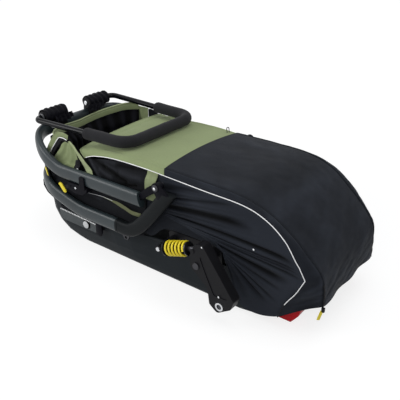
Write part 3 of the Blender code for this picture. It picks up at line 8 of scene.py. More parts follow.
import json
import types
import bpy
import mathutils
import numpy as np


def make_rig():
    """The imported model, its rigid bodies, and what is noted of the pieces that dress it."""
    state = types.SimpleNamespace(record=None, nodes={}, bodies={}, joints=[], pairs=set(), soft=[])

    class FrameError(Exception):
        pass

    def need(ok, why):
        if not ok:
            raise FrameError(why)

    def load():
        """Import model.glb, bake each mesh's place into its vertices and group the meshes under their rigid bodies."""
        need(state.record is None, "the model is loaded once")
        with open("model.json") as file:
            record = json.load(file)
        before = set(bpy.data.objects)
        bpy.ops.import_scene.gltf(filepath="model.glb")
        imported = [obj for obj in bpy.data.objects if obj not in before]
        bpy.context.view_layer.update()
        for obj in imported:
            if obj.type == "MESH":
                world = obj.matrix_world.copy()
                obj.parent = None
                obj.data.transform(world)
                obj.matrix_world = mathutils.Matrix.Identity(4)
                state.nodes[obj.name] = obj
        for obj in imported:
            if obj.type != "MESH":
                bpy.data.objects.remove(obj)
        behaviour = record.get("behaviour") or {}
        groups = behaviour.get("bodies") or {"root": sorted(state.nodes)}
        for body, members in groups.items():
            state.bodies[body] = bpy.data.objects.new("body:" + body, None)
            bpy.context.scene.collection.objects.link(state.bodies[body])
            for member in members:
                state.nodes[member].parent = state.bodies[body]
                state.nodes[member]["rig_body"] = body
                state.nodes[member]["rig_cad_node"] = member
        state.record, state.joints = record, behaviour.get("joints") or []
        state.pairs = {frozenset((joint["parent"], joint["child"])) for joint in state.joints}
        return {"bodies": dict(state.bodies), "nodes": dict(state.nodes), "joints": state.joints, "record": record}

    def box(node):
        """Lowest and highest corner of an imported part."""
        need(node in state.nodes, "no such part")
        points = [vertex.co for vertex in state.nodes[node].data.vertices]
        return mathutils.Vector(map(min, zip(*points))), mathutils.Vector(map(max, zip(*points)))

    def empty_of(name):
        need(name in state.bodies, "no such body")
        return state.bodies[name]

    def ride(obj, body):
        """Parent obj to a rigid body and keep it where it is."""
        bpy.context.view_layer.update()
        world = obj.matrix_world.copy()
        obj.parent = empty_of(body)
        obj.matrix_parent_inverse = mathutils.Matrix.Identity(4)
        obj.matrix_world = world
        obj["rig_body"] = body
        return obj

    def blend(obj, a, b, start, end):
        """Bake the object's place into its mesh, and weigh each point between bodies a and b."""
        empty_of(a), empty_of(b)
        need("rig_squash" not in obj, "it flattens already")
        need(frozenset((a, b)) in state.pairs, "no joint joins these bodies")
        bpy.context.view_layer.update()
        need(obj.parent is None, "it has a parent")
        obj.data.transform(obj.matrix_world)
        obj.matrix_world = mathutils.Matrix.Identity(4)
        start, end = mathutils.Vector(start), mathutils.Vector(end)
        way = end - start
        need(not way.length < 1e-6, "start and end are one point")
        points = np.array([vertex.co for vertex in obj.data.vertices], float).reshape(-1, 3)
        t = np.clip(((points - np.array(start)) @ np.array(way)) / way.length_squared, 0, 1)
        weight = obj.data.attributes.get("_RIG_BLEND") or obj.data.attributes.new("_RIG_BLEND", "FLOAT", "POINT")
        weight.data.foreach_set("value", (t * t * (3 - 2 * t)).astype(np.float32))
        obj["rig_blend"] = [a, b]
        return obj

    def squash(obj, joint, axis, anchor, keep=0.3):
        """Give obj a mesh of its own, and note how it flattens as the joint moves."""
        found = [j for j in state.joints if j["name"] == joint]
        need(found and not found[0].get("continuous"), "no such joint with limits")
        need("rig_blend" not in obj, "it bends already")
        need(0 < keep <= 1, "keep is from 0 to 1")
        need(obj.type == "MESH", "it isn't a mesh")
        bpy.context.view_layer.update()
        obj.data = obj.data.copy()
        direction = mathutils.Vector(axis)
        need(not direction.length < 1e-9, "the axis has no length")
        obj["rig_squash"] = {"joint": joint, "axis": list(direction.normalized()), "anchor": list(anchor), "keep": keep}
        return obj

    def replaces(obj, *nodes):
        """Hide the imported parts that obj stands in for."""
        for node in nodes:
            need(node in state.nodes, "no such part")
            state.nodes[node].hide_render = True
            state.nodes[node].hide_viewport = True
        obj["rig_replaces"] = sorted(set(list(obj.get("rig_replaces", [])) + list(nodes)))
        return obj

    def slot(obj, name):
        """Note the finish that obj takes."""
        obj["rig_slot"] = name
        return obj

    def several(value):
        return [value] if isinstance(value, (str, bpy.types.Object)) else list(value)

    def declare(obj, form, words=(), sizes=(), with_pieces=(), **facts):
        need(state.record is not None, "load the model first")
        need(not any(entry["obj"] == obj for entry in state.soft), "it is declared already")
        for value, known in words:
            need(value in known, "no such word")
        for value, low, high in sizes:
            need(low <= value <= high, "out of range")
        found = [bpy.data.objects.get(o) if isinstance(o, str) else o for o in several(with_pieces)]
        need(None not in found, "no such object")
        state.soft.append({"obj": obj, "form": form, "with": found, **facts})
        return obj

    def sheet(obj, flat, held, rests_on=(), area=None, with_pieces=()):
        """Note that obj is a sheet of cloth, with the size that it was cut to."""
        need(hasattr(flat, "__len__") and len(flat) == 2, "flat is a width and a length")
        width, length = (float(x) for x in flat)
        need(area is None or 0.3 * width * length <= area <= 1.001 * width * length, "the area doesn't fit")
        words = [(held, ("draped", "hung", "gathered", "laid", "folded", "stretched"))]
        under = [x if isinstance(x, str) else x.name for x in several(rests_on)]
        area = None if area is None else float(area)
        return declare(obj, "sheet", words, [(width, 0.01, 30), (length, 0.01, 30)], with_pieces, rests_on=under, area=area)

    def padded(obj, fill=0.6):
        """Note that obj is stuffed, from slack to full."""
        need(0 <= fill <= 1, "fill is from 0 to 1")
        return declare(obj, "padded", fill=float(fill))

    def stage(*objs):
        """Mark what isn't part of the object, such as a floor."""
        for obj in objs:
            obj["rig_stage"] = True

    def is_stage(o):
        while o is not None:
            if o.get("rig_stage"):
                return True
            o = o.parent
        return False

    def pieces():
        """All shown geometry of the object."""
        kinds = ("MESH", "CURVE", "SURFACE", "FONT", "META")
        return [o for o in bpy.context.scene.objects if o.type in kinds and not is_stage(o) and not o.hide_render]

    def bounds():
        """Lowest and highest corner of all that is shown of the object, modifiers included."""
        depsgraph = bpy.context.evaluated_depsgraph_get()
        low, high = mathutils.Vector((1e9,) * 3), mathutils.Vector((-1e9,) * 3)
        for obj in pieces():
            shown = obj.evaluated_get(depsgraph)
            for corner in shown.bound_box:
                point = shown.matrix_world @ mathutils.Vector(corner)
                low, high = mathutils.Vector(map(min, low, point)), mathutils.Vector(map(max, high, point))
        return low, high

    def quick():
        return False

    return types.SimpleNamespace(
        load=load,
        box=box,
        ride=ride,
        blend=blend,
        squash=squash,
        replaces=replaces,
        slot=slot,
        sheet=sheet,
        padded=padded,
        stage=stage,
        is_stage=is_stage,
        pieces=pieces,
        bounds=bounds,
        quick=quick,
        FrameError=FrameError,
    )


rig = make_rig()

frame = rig.load()

import json
import logging
import math
from dataclasses import dataclass
from enum import Enum
from typing import Callable, Optional, Sequence

import bmesh
import bpy
from mathutils import Matrix, Vector, noise

logging.basicConfig(level=logging.INFO, format="%(message)s")
LOG = logging.getLogger("trailer")

CAD_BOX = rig.bounds()
SIZE_FILE = "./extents.json"
Colour = tuple[float, float, float]


class Side(Enum):
    """A side of the trailer, as its rider's helper stands behind it."""

    LEFT = 1
    RIGHT = -1

    @property
    def label(self) -> str:
        """The side's word in the names of pieces."""
        return self.name.lower()

    def place(self, point: Sequence[float]) -> Vector:
        """Carry a point that is written for the left side to this one."""
        return Vector((point[0], point[1] * self.value, point[2]))


# Shaping helpers
def smooth_step(value: float) -> float:
    """Ease from 0 to 1."""
    value = min(1.0, max(0.0, value))
    return value * value * (3 - 2 * value)


def bell(value: float, width: float) -> float:
    """A soft bump round zero."""
    return math.exp(-((value / width) ** 2))


def ripple(point: Sequence[float], sizes: Sequence[float], seed: float) -> float:
    """Smooth noise from about -1 to 1.

    Args:
        point: Where it is read.
        sizes: A wrinkle's size along each axis, in the point's own unit.
        seed: Moves the pattern, so that two pieces differ.

    Returns:
        The height there.
    """
    return noise.noise(Vector([p / s + seed for p, s in zip(point, sizes)]))


@dataclass(frozen=True)
class Line:
    """A smooth curve through its knots."""

    knots: tuple

    def at(self, value: float) -> Vector:
        """Read the curve; value runs from 0 to the number of knots less one."""
        last = len(self.knots) - 1
        index = min(max(int(value), 0), last - 1)
        t = value - index
        k = [Vector(self.knots[min(max(index + o, 0), last)]) for o in (-1, 0, 1, 2)]
        b = k[2] - k[0]
        c = 2 * k[0] - 5 * k[1] + 4 * k[2] - k[3]
        d = -k[0] + 3 * k[1] - 3 * k[2] + k[3]
        return 0.5 * (2 * k[1] + b * t + c * t * t + d * t * t * t)

    def share(self, value: float) -> Vector:
        """Read the curve by a share from 0 to 1."""
        return self.at(value * (len(self.knots) - 1))

    def points(self, count: int) -> list[Vector]:
        """Evenly shared points along the curve."""
        return [self.share(i / (count - 1)) for i in range(count)]


def even(points: Sequence[Vector], pitch: float) -> list[Vector]:
    """Points a pitch apart along a polyline."""
    result, left = [Vector(points[0])], pitch
    for a, b in zip(points, points[1:]):
        length, done = (b - a).length, 0.0
        while length - done >= left:
            done += left
            result.append(a.lerp(b, done / length))
            left = pitch
        left -= length - done
    return result


def fillet(points: Sequence[Sequence[float]], radii: Sequence[float], steps: int) -> list[Vector]:
    """Round the corners of an open polyline.

    Args:
        points: Its corners.
        radii: A radius for each corner; the ends' are not used.
        steps: Points round each bend.

    Returns:
        The rounded line.
    """
    result = [Vector(points[0])]
    for before, here, after, radius in zip(points, points[1:], points[2:], radii[1:]):
        before, here, after = Vector(before), Vector(here), Vector(after)
        back, on = (before - here).normalized(), (after - here).normalized()
        half = back.angle(on) / 2
        reach = min(radius / math.tan(half), 0.49 * (before - here).length, 0.49 * (after - here).length)
        radius = reach * math.tan(half)
        centre = here + (back + on).normalized() * (radius / math.sin(half))
        start, end = here + back * reach - centre, here + on * reach - centre
        sweep = start.angle(end)
        for k in range(steps + 1):
            t = k / steps
            part = start * math.sin((1 - t) * sweep) + end * math.sin(t * sweep)
            result.append(centre + part / math.sin(sweep))
    result.append(Vector(points[-1]))
    return result


def oval(wide: float, tall: float, steps: int = 28, power: float = 0.72) -> list[tuple[float, float]]:
    """A flat-oval tube section."""
    points = []
    for i in range(steps):
        c, s = math.cos(2 * math.pi * i / steps), math.sin(2 * math.pi * i / steps)
        points.append((wide / 2 * math.copysign(abs(c) ** power, c), tall / 2 * math.copysign(abs(s) ** power, s)))
    return points


def ring(radius: float, steps: int) -> list[tuple[float, float]]:
    """A round section."""
    return [(radius * math.cos(2 * math.pi * i / steps), radius * math.sin(2 * math.pi * i / steps))
            for i in range(steps)]


# Bench: pieces are made with the operators that a modeller uses by hand
def deselect() -> None:
    """Leave nothing selected."""
    bpy.ops.object.select_all(action="DESELECT")


def take(obj: bpy.types.Object) -> bpy.types.Object:
    """Select one object alone and make it the active one."""
    deselect()
    obj.select_set(True)
    bpy.context.view_layer.objects.active = obj
    return obj


def named(name: str) -> bpy.types.Object:
    """Name the primitive that was just added."""
    obj = bpy.context.active_object
    obj.name, obj.data.name = name, name
    return obj


def settle(obj: bpy.types.Object) -> bpy.types.Object:
    """Put the object at the origin with its place in its mesh."""
    take(obj)
    bpy.ops.object.transform_apply(location=True, rotation=True, scale=True)
    return obj


def modify(obj: bpy.types.Object, kind: str, **settings: object) -> bpy.types.Object:
    """Add one modifier and apply it."""
    take(obj)
    change = obj.modifiers.new(kind.lower(), kind)
    for key, value in settings.items():
        setattr(change, key, value)
    bpy.ops.object.modifier_apply(modifier=change.name)
    return obj


def shade(obj: bpy.types.Object, degrees: float = 40.0) -> bpy.types.Object:
    """Shade smooth, with edges over an angle kept sharp."""
    take(obj)
    bpy.ops.object.shade_smooth_by_angle(angle=math.radians(degrees))
    return obj


def patch(name: str, rows: int, columns: int, place: Callable[[float, float], Vector],
          outward: Optional[Vector] = None) -> bpy.types.Object:
    """Add a grid and lay each of its points.

    Args:
        name: The piece's name.
        rows: Cells along.
        columns: Cells across.
        place: The point at (along, across), each from 0 to 1.
        outward: A direction on the outer side, where the sheet has one.

    Returns:
        The sheet, with a UV map in metres.
    """
    deselect()
    bpy.ops.mesh.primitive_grid_add(x_subdivisions=rows, y_subdivisions=columns, size=2.0)
    obj = named(name)
    mesh = obj.data
    for vertex in mesh.vertices:
        vertex.co = place((vertex.co.x + 1) / 2, (vertex.co.y + 1) / 2)

    def run(read: Callable[[float], Vector]) -> float:
        points = [read(i / 24) for i in range(25)]
        return sum((b - a).length for a, b in zip(points, points[1:]))

    size = run(lambda t: place(t, 0.5)), run(lambda t: place(0.5, t))
    for loop in mesh.uv_layers.active.data:
        loop.uv = (loop.uv[0] * size[0], loop.uv[1] * size[1])
    mesh.update()
    if outward is not None:
        facing = sum((p.normal * p.area for p in mesh.polygons), Vector())
        if facing.dot(outward) < 0:
            mesh.flip_normals()
    return obj


def ruffle(obj: bpy.types.Object, height: Callable[[Vector], float]) -> bpy.types.Object:
    """Move each point along its own normal."""
    mesh = obj.data
    moves = [v.normal * height(v.co) for v in mesh.vertices]
    for vertex, move in zip(mesh.vertices, moves):
        vertex.co += move
    mesh.update()
    return obj


def strokes(x: float, z: float, marks: Sequence[tuple[float, float, float, float, float, float]]) -> float:
    """Sum of soft folds, each a line from one point to another with a width and a height."""
    total = 0.0
    for x0, z0, x1, z1, wide, tall in marks:
        run = max(1e-9, (x1 - x0) ** 2 + (z1 - z0) ** 2)
        share = min(1.0, max(0.0, ((x - x0) * (x1 - x0) + (z - z0) * (z1 - z0)) / run))
        off = math.hypot(x - x0 - share * (x1 - x0), z - z0 - share * (z1 - z0))
        total += tall * bell(off, wide)
    return total


def relieve(obj: bpy.types.Object, rows: int, columns: int, read: Callable[[float, float], float]) -> None:
    """Note how far each point of a sheet stands proud, from -1 to 1, for its finish to paint shade in the folds and
    highlight on the crests.
    """
    values = [max(-1.0, min(1.0, read(i / rows, j / columns))) for j in range(columns + 1) for i in range(rows + 1)]
    obj.data.attributes.new("relief", "FLOAT", "POINT").data.foreach_set("value", values)


def frames_along(path: Sequence[Vector], upright: Optional[Vector]) -> list[tuple[Vector, Vector, Vector]]:
    """A place, an across and an up for each point of a path."""
    frames, up = [], upright
    for i, here in enumerate(path):
        along = (path[min(i + 1, len(path) - 1)] - path[max(i - 1, 0)]).normalized()
        if upright is None:
            up = up if up is not None else (Vector((0, 0, 1)) if abs(along.z) < 0.9 else Vector((1, 0, 0)))
            up = (up - along * up.dot(along)).normalized()
            across = up.cross(along)
        else:
            across = upright.cross(along).normalized()
            up = along.cross(across)
        frames.append((here, across, up))
    return frames


def swept(name: str, path: Sequence[Vector], section: Sequence[tuple[float, float]],
          upright: Optional[Vector] = None, girth: Callable[[float], float] = lambda t: 1.0) -> bpy.types.Object:
    """Carry a closed section along a path and cap its ends.

    Args:
        name: The piece's name.
        path: The centre line.
        section: Points of (across, up).
        upright: Keeps the section upright; without it the section turns as little as it can.
        girth: The section's scale by share of the path.

    Returns:
        One closed body.
    """
    frames, count = frames_along(path, upright), len(section)
    last = len(frames) - 1

    def place(u: float, w: float) -> Vector:
        here, across, up = frames[round(u * last)]
        a, b = section[round(w * count) % count]
        scale = girth(u)
        return here + across * a * scale + up * b * scale

    obj = patch(name, last, count, place)
    take(obj)
    bpy.ops.object.mode_set(mode="EDIT")
    bpy.ops.mesh.select_all(action="SELECT")
    bpy.ops.mesh.remove_doubles(threshold=1e-6)
    bpy.ops.mesh.select_all(action="SELECT")
    bpy.ops.mesh.fill_holes(sides=0)
    bpy.ops.mesh.select_all(action="SELECT")
    bpy.ops.mesh.normals_make_consistent(inside=False)
    bpy.ops.object.mode_set(mode="OBJECT")
    return shade(obj, 50)


def block(name: str, size: tuple[float, float, float], edge: float) -> bpy.types.Object:
    """A small block with softened edges, to be repeated."""
    deselect()
    bpy.ops.mesh.primitive_cube_add(size=1.0)
    obj = named(name)
    obj.scale = size
    return modify(settle(obj), "BEVEL", width=edge, segments=1)


def repeated(name: str, pattern: bpy.types.Object, places: Sequence[Matrix]) -> bpy.types.Object:
    """Copy one small piece to many places as one object; the pattern itself goes."""
    bm = bmesh.new()
    for place in places:
        copy = pattern.data.copy()
        copy.transform(place)
        bm.from_mesh(copy)
        bpy.data.meshes.remove(copy)
    mesh = bpy.data.meshes.new(name)
    bm.to_mesh(mesh)
    bm.free()
    obj = bpy.data.objects.new(name, mesh)
    bpy.context.scene.collection.objects.link(obj)
    bpy.data.objects.remove(pattern)
    return shade(obj, 50)


def plate(name: str, side: Side, outline: Sequence[tuple[float, float]], outer: float, inner: float,
          edge: float = 0.0010) -> bpy.types.Object:
    """Extrude an upright outline into a plate with softened edges.

    Args:
        name: The piece's name.
        side: The side it stands on.
        outline: Its corners, (along, up), in order.
        outer: Its outer face, across.
        inner: Its inner face, across.
        edge: Width of the softened edge.

    Returns:
        The plate, in place.
    """
    deselect()
    bpy.ops.mesh.primitive_circle_add(vertices=len(outline), radius=1.0, fill_type="NGON")
    obj = named(name)
    for vertex, (along, up) in zip(obj.data.vertices, outline):
        vertex.co = side.place((along, outer, up))
    take(obj)
    bpy.ops.object.mode_set(mode="EDIT")
    bpy.ops.mesh.select_all(action="SELECT")
    bpy.ops.mesh.extrude_region_move(TRANSFORM_OT_translate={"value": tuple(side.place((0, inner - outer, 0)))})
    bpy.ops.mesh.select_all(action="SELECT")
    bpy.ops.mesh.normals_make_consistent(inside=False)
    bpy.ops.object.mode_set(mode="OBJECT")
    modify(obj, "BEVEL", width=edge, segments=2, limit_method="ANGLE", angle_limit=math.radians(40))
    return shade(obj, 40)


def arc(centre: tuple[float, float], radius: float, start: float, end: float, steps: int) -> list[tuple[float, float]]:
    """Points round part of a circle, by degrees."""
    turns = [math.radians(start + (end - start) * i / steps) for i in range(steps + 1)]
    return [(centre[0] + radius * math.cos(t), centre[1] + radius * math.sin(t)) for t in turns]


def facing(place: Vector, along: Vector, up: Vector) -> Matrix:
    """A matrix that lays +X along a run and +Z out of a surface."""
    x = along.normalized()
    y = up.cross(x).normalized()
    z = x.cross(y)
    return Matrix(((x.x, y.x, z.x, place.x), (x.y, y.y, z.y, place.y), (x.z, y.z, z.z, place.z), (0, 0, 0, 1)))


# Finishes
class Graph:
    """Builds the nodes of one material."""

    def __init__(self, name: str) -> None:
        """Start a material with its Principled shader."""
        self.material = bpy.data.materials.new(name)
        self.material.use_nodes = True
        self.tree = self.material.node_tree
        self.shader = self.tree.nodes["Principled BSDF"]
        self.height: Optional[bpy.types.NodeSocket] = None
        self.coords = self.add("ShaderNodeTexCoord")

    def add(self, kind: str, inputs: Optional[dict] = None, **settings: object) -> bpy.types.Node:
        """Add a node; inputs are numbers, colours or other nodes' outputs."""
        node = self.tree.nodes.new(kind)
        for key, value in settings.items():
            setattr(node, key, value)
        for key, value in (inputs or {}).items():
            if isinstance(value, bpy.types.NodeSocket):
                self.tree.links.new(value, node.inputs[key])
            else:
                node.inputs[key].default_value = value
        return node

    def constant(self, **values: object) -> None:
        """Set numbers on the shader's own sockets, named with _ for a space."""
        for key, value in values.items():
            self.shader.inputs[key.replace("_", " ")].default_value = value

    def mapped(self, stretch: Sequence[float], uv: bool = False) -> bpy.types.NodeSocket:
        """Coordinates, stretched."""
        source = self.coords.outputs["UV" if uv else "Object"]
        return self.add("ShaderNodeMapping", {"Vector": source, "Scale": tuple(stretch)}).outputs["Vector"]

    def noise(self, scale: float, detail: float = 3.0, stretch: Sequence[float] = (1, 1, 1),
              rough: float = 0.5) -> bpy.types.NodeSocket:
        """Cloudy noise from 0 to 1."""
        return self.add("ShaderNodeTexNoise", {"Vector": self.mapped(stretch), "Scale": scale, "Detail": detail,
                                               "Roughness": rough}).outputs["Fac"]

    def wave(self, pitch: float, direction: str, distortion: float = 0.0) -> bpy.types.NodeSocket:
        """Threads or ribs a pitch apart on the UV map."""
        return self.add("ShaderNodeTexWave", {"Vector": self.coords.outputs["UV"], "Scale": 0.314 / pitch,
                                              "Distortion": distortion}, bands_direction=direction).outputs["Fac"]

    def cells(self, scale: float, source: str = "Object", randomness: float = 1.0,
              **settings: object) -> bpy.types.NodeSocket:
        """Distance to the middle of the nearest cell."""
        return self.add("ShaderNodeTexVoronoi", {"Vector": self.coords.outputs[source], "Scale": scale,
                                                 "Randomness": randomness}, **settings).outputs["Distance"]

    def math(self, kind: str, a: object, b: object = 0.0) -> bpy.types.NodeSocket:
        """Arithmetic on two numbers."""
        return self.add("ShaderNodeMath", {0: a, 1: b}, operation=kind).outputs[0]

    def ranged(self, value: bpy.types.NodeSocket, low: float, high: float, to_low: float,
               to_high: float) -> bpy.types.NodeSocket:
        """Map one span of numbers to another, with its ends held."""
        return self.add("ShaderNodeMapRange", {"Value": value, "From Min": low, "From Max": high, "To Min": to_low,
                                               "To Max": to_high}).outputs["Result"]

    def colours(self, share: bpy.types.NodeSocket, low: Colour, high: Colour,
                depth: Optional[bpy.types.NodeSocket] = None) -> None:
        """Base colour between two by a share, multiplied by a depth: painted shade in the folds and painted highlight
        on the crests.
        """
        mix = self.add("ShaderNodeMix", {0: share, 6: (*low, 1.0), 7: (*high, 1.0)}, data_type="RGBA").outputs[2]
        if depth is not None:
            mix = self.add("ShaderNodeMix", {0: 1.0, 6: mix, 7: depth}, data_type="RGBA",
                           blend_type="MULTIPLY").outputs[2]
        self.tree.links.new(mix, self.shader.inputs["Base Color"])

    def worn(self, least: float, most: float) -> bpy.types.NodeSocket:
        """Painted shade in the folds and painted highlight on their crests, from the sheet's own relief."""
        relief = self.add("ShaderNodeAttribute", attribute_name="relief").outputs["Fac"]
        low, high = self.ranged(relief, -1.0, 0.0, least, 1.0), self.ranged(relief, 0.0, 1.0, 0.0, most - 1.0)
        return self.math("ADD", low, high)

    def rough(self, share: bpy.types.NodeSocket, low: float, high: float) -> None:
        """Roughness between two, by a share."""
        self.tree.links.new(self.ranged(share, 0.0, 1.0, low, high), self.shader.inputs["Roughness"])

    def bump(self, height: bpy.types.NodeSocket, distance: float, strength: float = 1.0) -> None:
        """Add relief in metres, over what is there already."""
        inputs = {"Height": height, "Distance": distance, "Strength": strength}
        if self.height is not None:
            inputs["Normal"] = self.height
        self.height = self.add("ShaderNodeBump", inputs).outputs["Normal"]
        self.tree.links.new(self.height, self.shader.inputs["Normal"])


def shifted(colour: Colour, share: float) -> Colour:
    """A colour made lighter or darker."""
    return tuple(max(0.0, c * share) for c in colour)


@dataclass(frozen=True)
class Finish:
    """What every finish has: a name, a colour and a material made once."""

    name: str
    colour: Colour

    def dress(self, graph: Graph) -> None:
        """Add the finish's own nodes."""
        graph.constant(Base_Color=(*self.colour, 1.0))

    def material(self) -> bpy.types.Material:
        """The material, made on first use."""
        found = bpy.data.materials.get("finish_" + self.name)
        if found:
            return found
        graph = Graph("finish_" + self.name)
        self.dress(graph)
        return graph.material


@dataclass(frozen=True)
class Woven(Finish):
    """Plain-woven cloth with threads across the sheet, sheen, faint creases, and painted shade in its folds and painted
    highlight on their crests.
    """

    pitch: float = 0.0007
    roughness: float = 0.75
    sheen: float = 0.25
    crease: float = 0.0005
    spread: float = 0.10
    # Factors on the colour: painted shade in the folds and painted highlight on their crests.
    fold_dark: float = 0.15
    fold_pale: float = 2.6

    def dress(self, graph: Graph) -> None:
        """Threads from two waves on the UV map, clouds of wear, painted shade in the folds and painted highlight on
        their crests, and short creases.
        """
        weave = graph.math("MAXIMUM", graph.wave(self.pitch, "X"), graph.wave(self.pitch, "Y"))
        clouds = graph.noise(9.0, 4.0)
        threads = graph.noise(160.0, 2.0, (1, 1, 1))
        share = graph.math("ADD", graph.math("MULTIPLY", clouds, 0.7), graph.math("MULTIPLY", threads, 0.3))
        # The colour carries painted shade in the folds and painted highlight on their crests.
        graph.colours(graph.ranged(share, 0.3, 0.7, 0.0, 1.0), shifted(self.colour, 1 - self.spread),
                      shifted(self.colour, 1 + self.spread), graph.worn(self.fold_dark, self.fold_pale))
        graph.rough(clouds, self.roughness - 0.06, self.roughness + 0.06)
        graph.bump(graph.noise(34.0, 3.0, (0.6, 1.0, 1.0)), self.crease)
        graph.bump(graph.noise(110.0, 2.0), self.crease * 0.25)
        graph.bump(weave, self.pitch * 0.18, 0.6)
        graph.constant(Sheen_Weight=self.sheen, Sheen_Roughness=0.5, Specular_IOR_Level=0.05)


@dataclass(frozen=True)
class Netting(Finish):
    """Close black net: small round holes in rows over dark cloth."""

    cell: float = 0.0019

    def dress(self, graph: Graph) -> None:
        """Rows of holes from a cell pattern on the UV map, with painted shade in the folds and painted highlight on
        their crests.
        """
        cells = graph.cells(1 / self.cell, "UV", 0.12, voronoi_dimensions="2D")
        hole = graph.ranged(cells, 0.20, 0.38, 0.0, 1.0)
        # Painted shade in the folds and painted highlight on their crests.
        graph.colours(hole, shifted(self.colour, 0.25), self.colour, graph.worn(0.12, 2.8))
        graph.rough(graph.noise(12.0), 0.62, 0.8)
        graph.bump(graph.noise(30.0, 3.0), 0.0008)
        graph.bump(hole, 0.0003, 0.7)
        graph.constant(Sheen_Weight=0.012, Sheen_Roughness=0.5, Specular_IOR_Level=0.06)


@dataclass(frozen=True)
class Webbing(Finish):
    """Ribbed tape: strong cross ribs, soft edges."""

    pitch: float = 0.0016

    def dress(self, graph: Graph) -> None:
        """Ribs along the tape and a twill across them."""
        ribs = graph.wave(self.pitch, "DIAGONAL", 0.6)
        graph.colours(graph.noise(90.0), shifted(self.colour, 0.85), shifted(self.colour, 1.12))
        graph.rough(graph.noise(25.0), 0.65, 0.82)
        graph.bump(ribs, 0.0003, 0.8)
        graph.constant(Sheen_Weight=0.05, Sheen_Roughness=0.5, Specular_IOR_Level=0.16)


@dataclass(frozen=True)
class Coat(Finish):
    """Painted or plated metal, with a fine orange peel, dust and light rubs."""

    roughness: float = 0.4
    metallic: float = 0.0
    peel: float = 0.00004
    clear: float = 0.0
    rub: float = 0.25
    specular: float = 0.5

    def dress(self, graph: Graph) -> None:
        """Peel and rubs from noise at three scales."""
        dust = graph.noise(14.0, 4.0)
        graph.colours(graph.ranged(dust, 0.3, 0.75, 0.0, 1.0), shifted(self.colour, 0.92),
                      shifted(self.colour, 1.0 + self.rub))
        graph.rough(graph.noise(60.0, 3.0), self.roughness - 0.05, self.roughness + 0.07)
        graph.bump(graph.noise(700.0, 2.0), self.peel)
        graph.constant(Metallic=self.metallic, Coat_Weight=self.clear, Coat_Roughness=0.12,
                       Specular_IOR_Level=self.specular)


@dataclass(frozen=True)
class Moulded(Finish):
    """Moulded plastic or rubber with a leather-like grain."""

    roughness: float = 0.55
    grain: float = 0.0012
    depth: float = 0.00012
    specular: float = 0.10

    def dress(self, graph: Graph) -> None:
        """Grain cells over slow unevenness."""
        cells = graph.cells(1 / self.grain, feature="SMOOTH_F1")
        graph.colours(graph.noise(18.0, 4.0), shifted(self.colour, 0.85), shifted(self.colour, 1.2))
        graph.rough(graph.noise(40.0, 3.0), self.roughness - 0.06, self.roughness + 0.08)
        graph.bump(graph.noise(8.0, 2.0), 0.0006)
        graph.bump(cells, self.depth)
        graph.constant(Specular_IOR_Level=self.specular)


@dataclass(frozen=True)
class Pebbled(Finish):
    """Closed-cell foam with a fine pebble and small scuffs."""

    def dress(self, graph: Graph) -> None:
        """Two sizes of pebble, and scuffs that dull the surface."""
        pebble = graph.cells(900.0)
        scuff = graph.noise(30.0, 5.0, (1, 1, 1), 0.65)
        graph.colours(graph.ranged(scuff, 0.35, 0.75, 0.0, 1.0), shifted(self.colour, 0.9), shifted(self.colour, 1.3))
        graph.rough(scuff, 0.78, 0.92)
        graph.bump(graph.noise(45.0, 3.0), 0.0004)
        graph.bump(pebble, 0.0002, 0.6)
        graph.constant(Sheen_Weight=0.05, Sheen_Roughness=0.6, Specular_IOR_Level=0.12)


@dataclass(frozen=True)
class Lens(Finish):
    """Red reflector with rows of small prisms under a clear face."""

    def dress(self, graph: Graph) -> None:
        """Prism cells that break the reflection."""
        cells = graph.cells(260.0, randomness=0.0, distance="MANHATTAN")
        graph.colours(graph.ranged(cells, 0.1, 0.6, 0.0, 1.0), shifted(self.colour, 1.3), shifted(self.colour, 0.55))
        graph.rough(graph.noise(50.0), 0.12, 0.22)
        graph.bump(cells, 0.0008, 0.7)
        graph.constant(Coat_Weight=0.04, Coat_Roughness=0.10, Specular_IOR_Level=0.08)


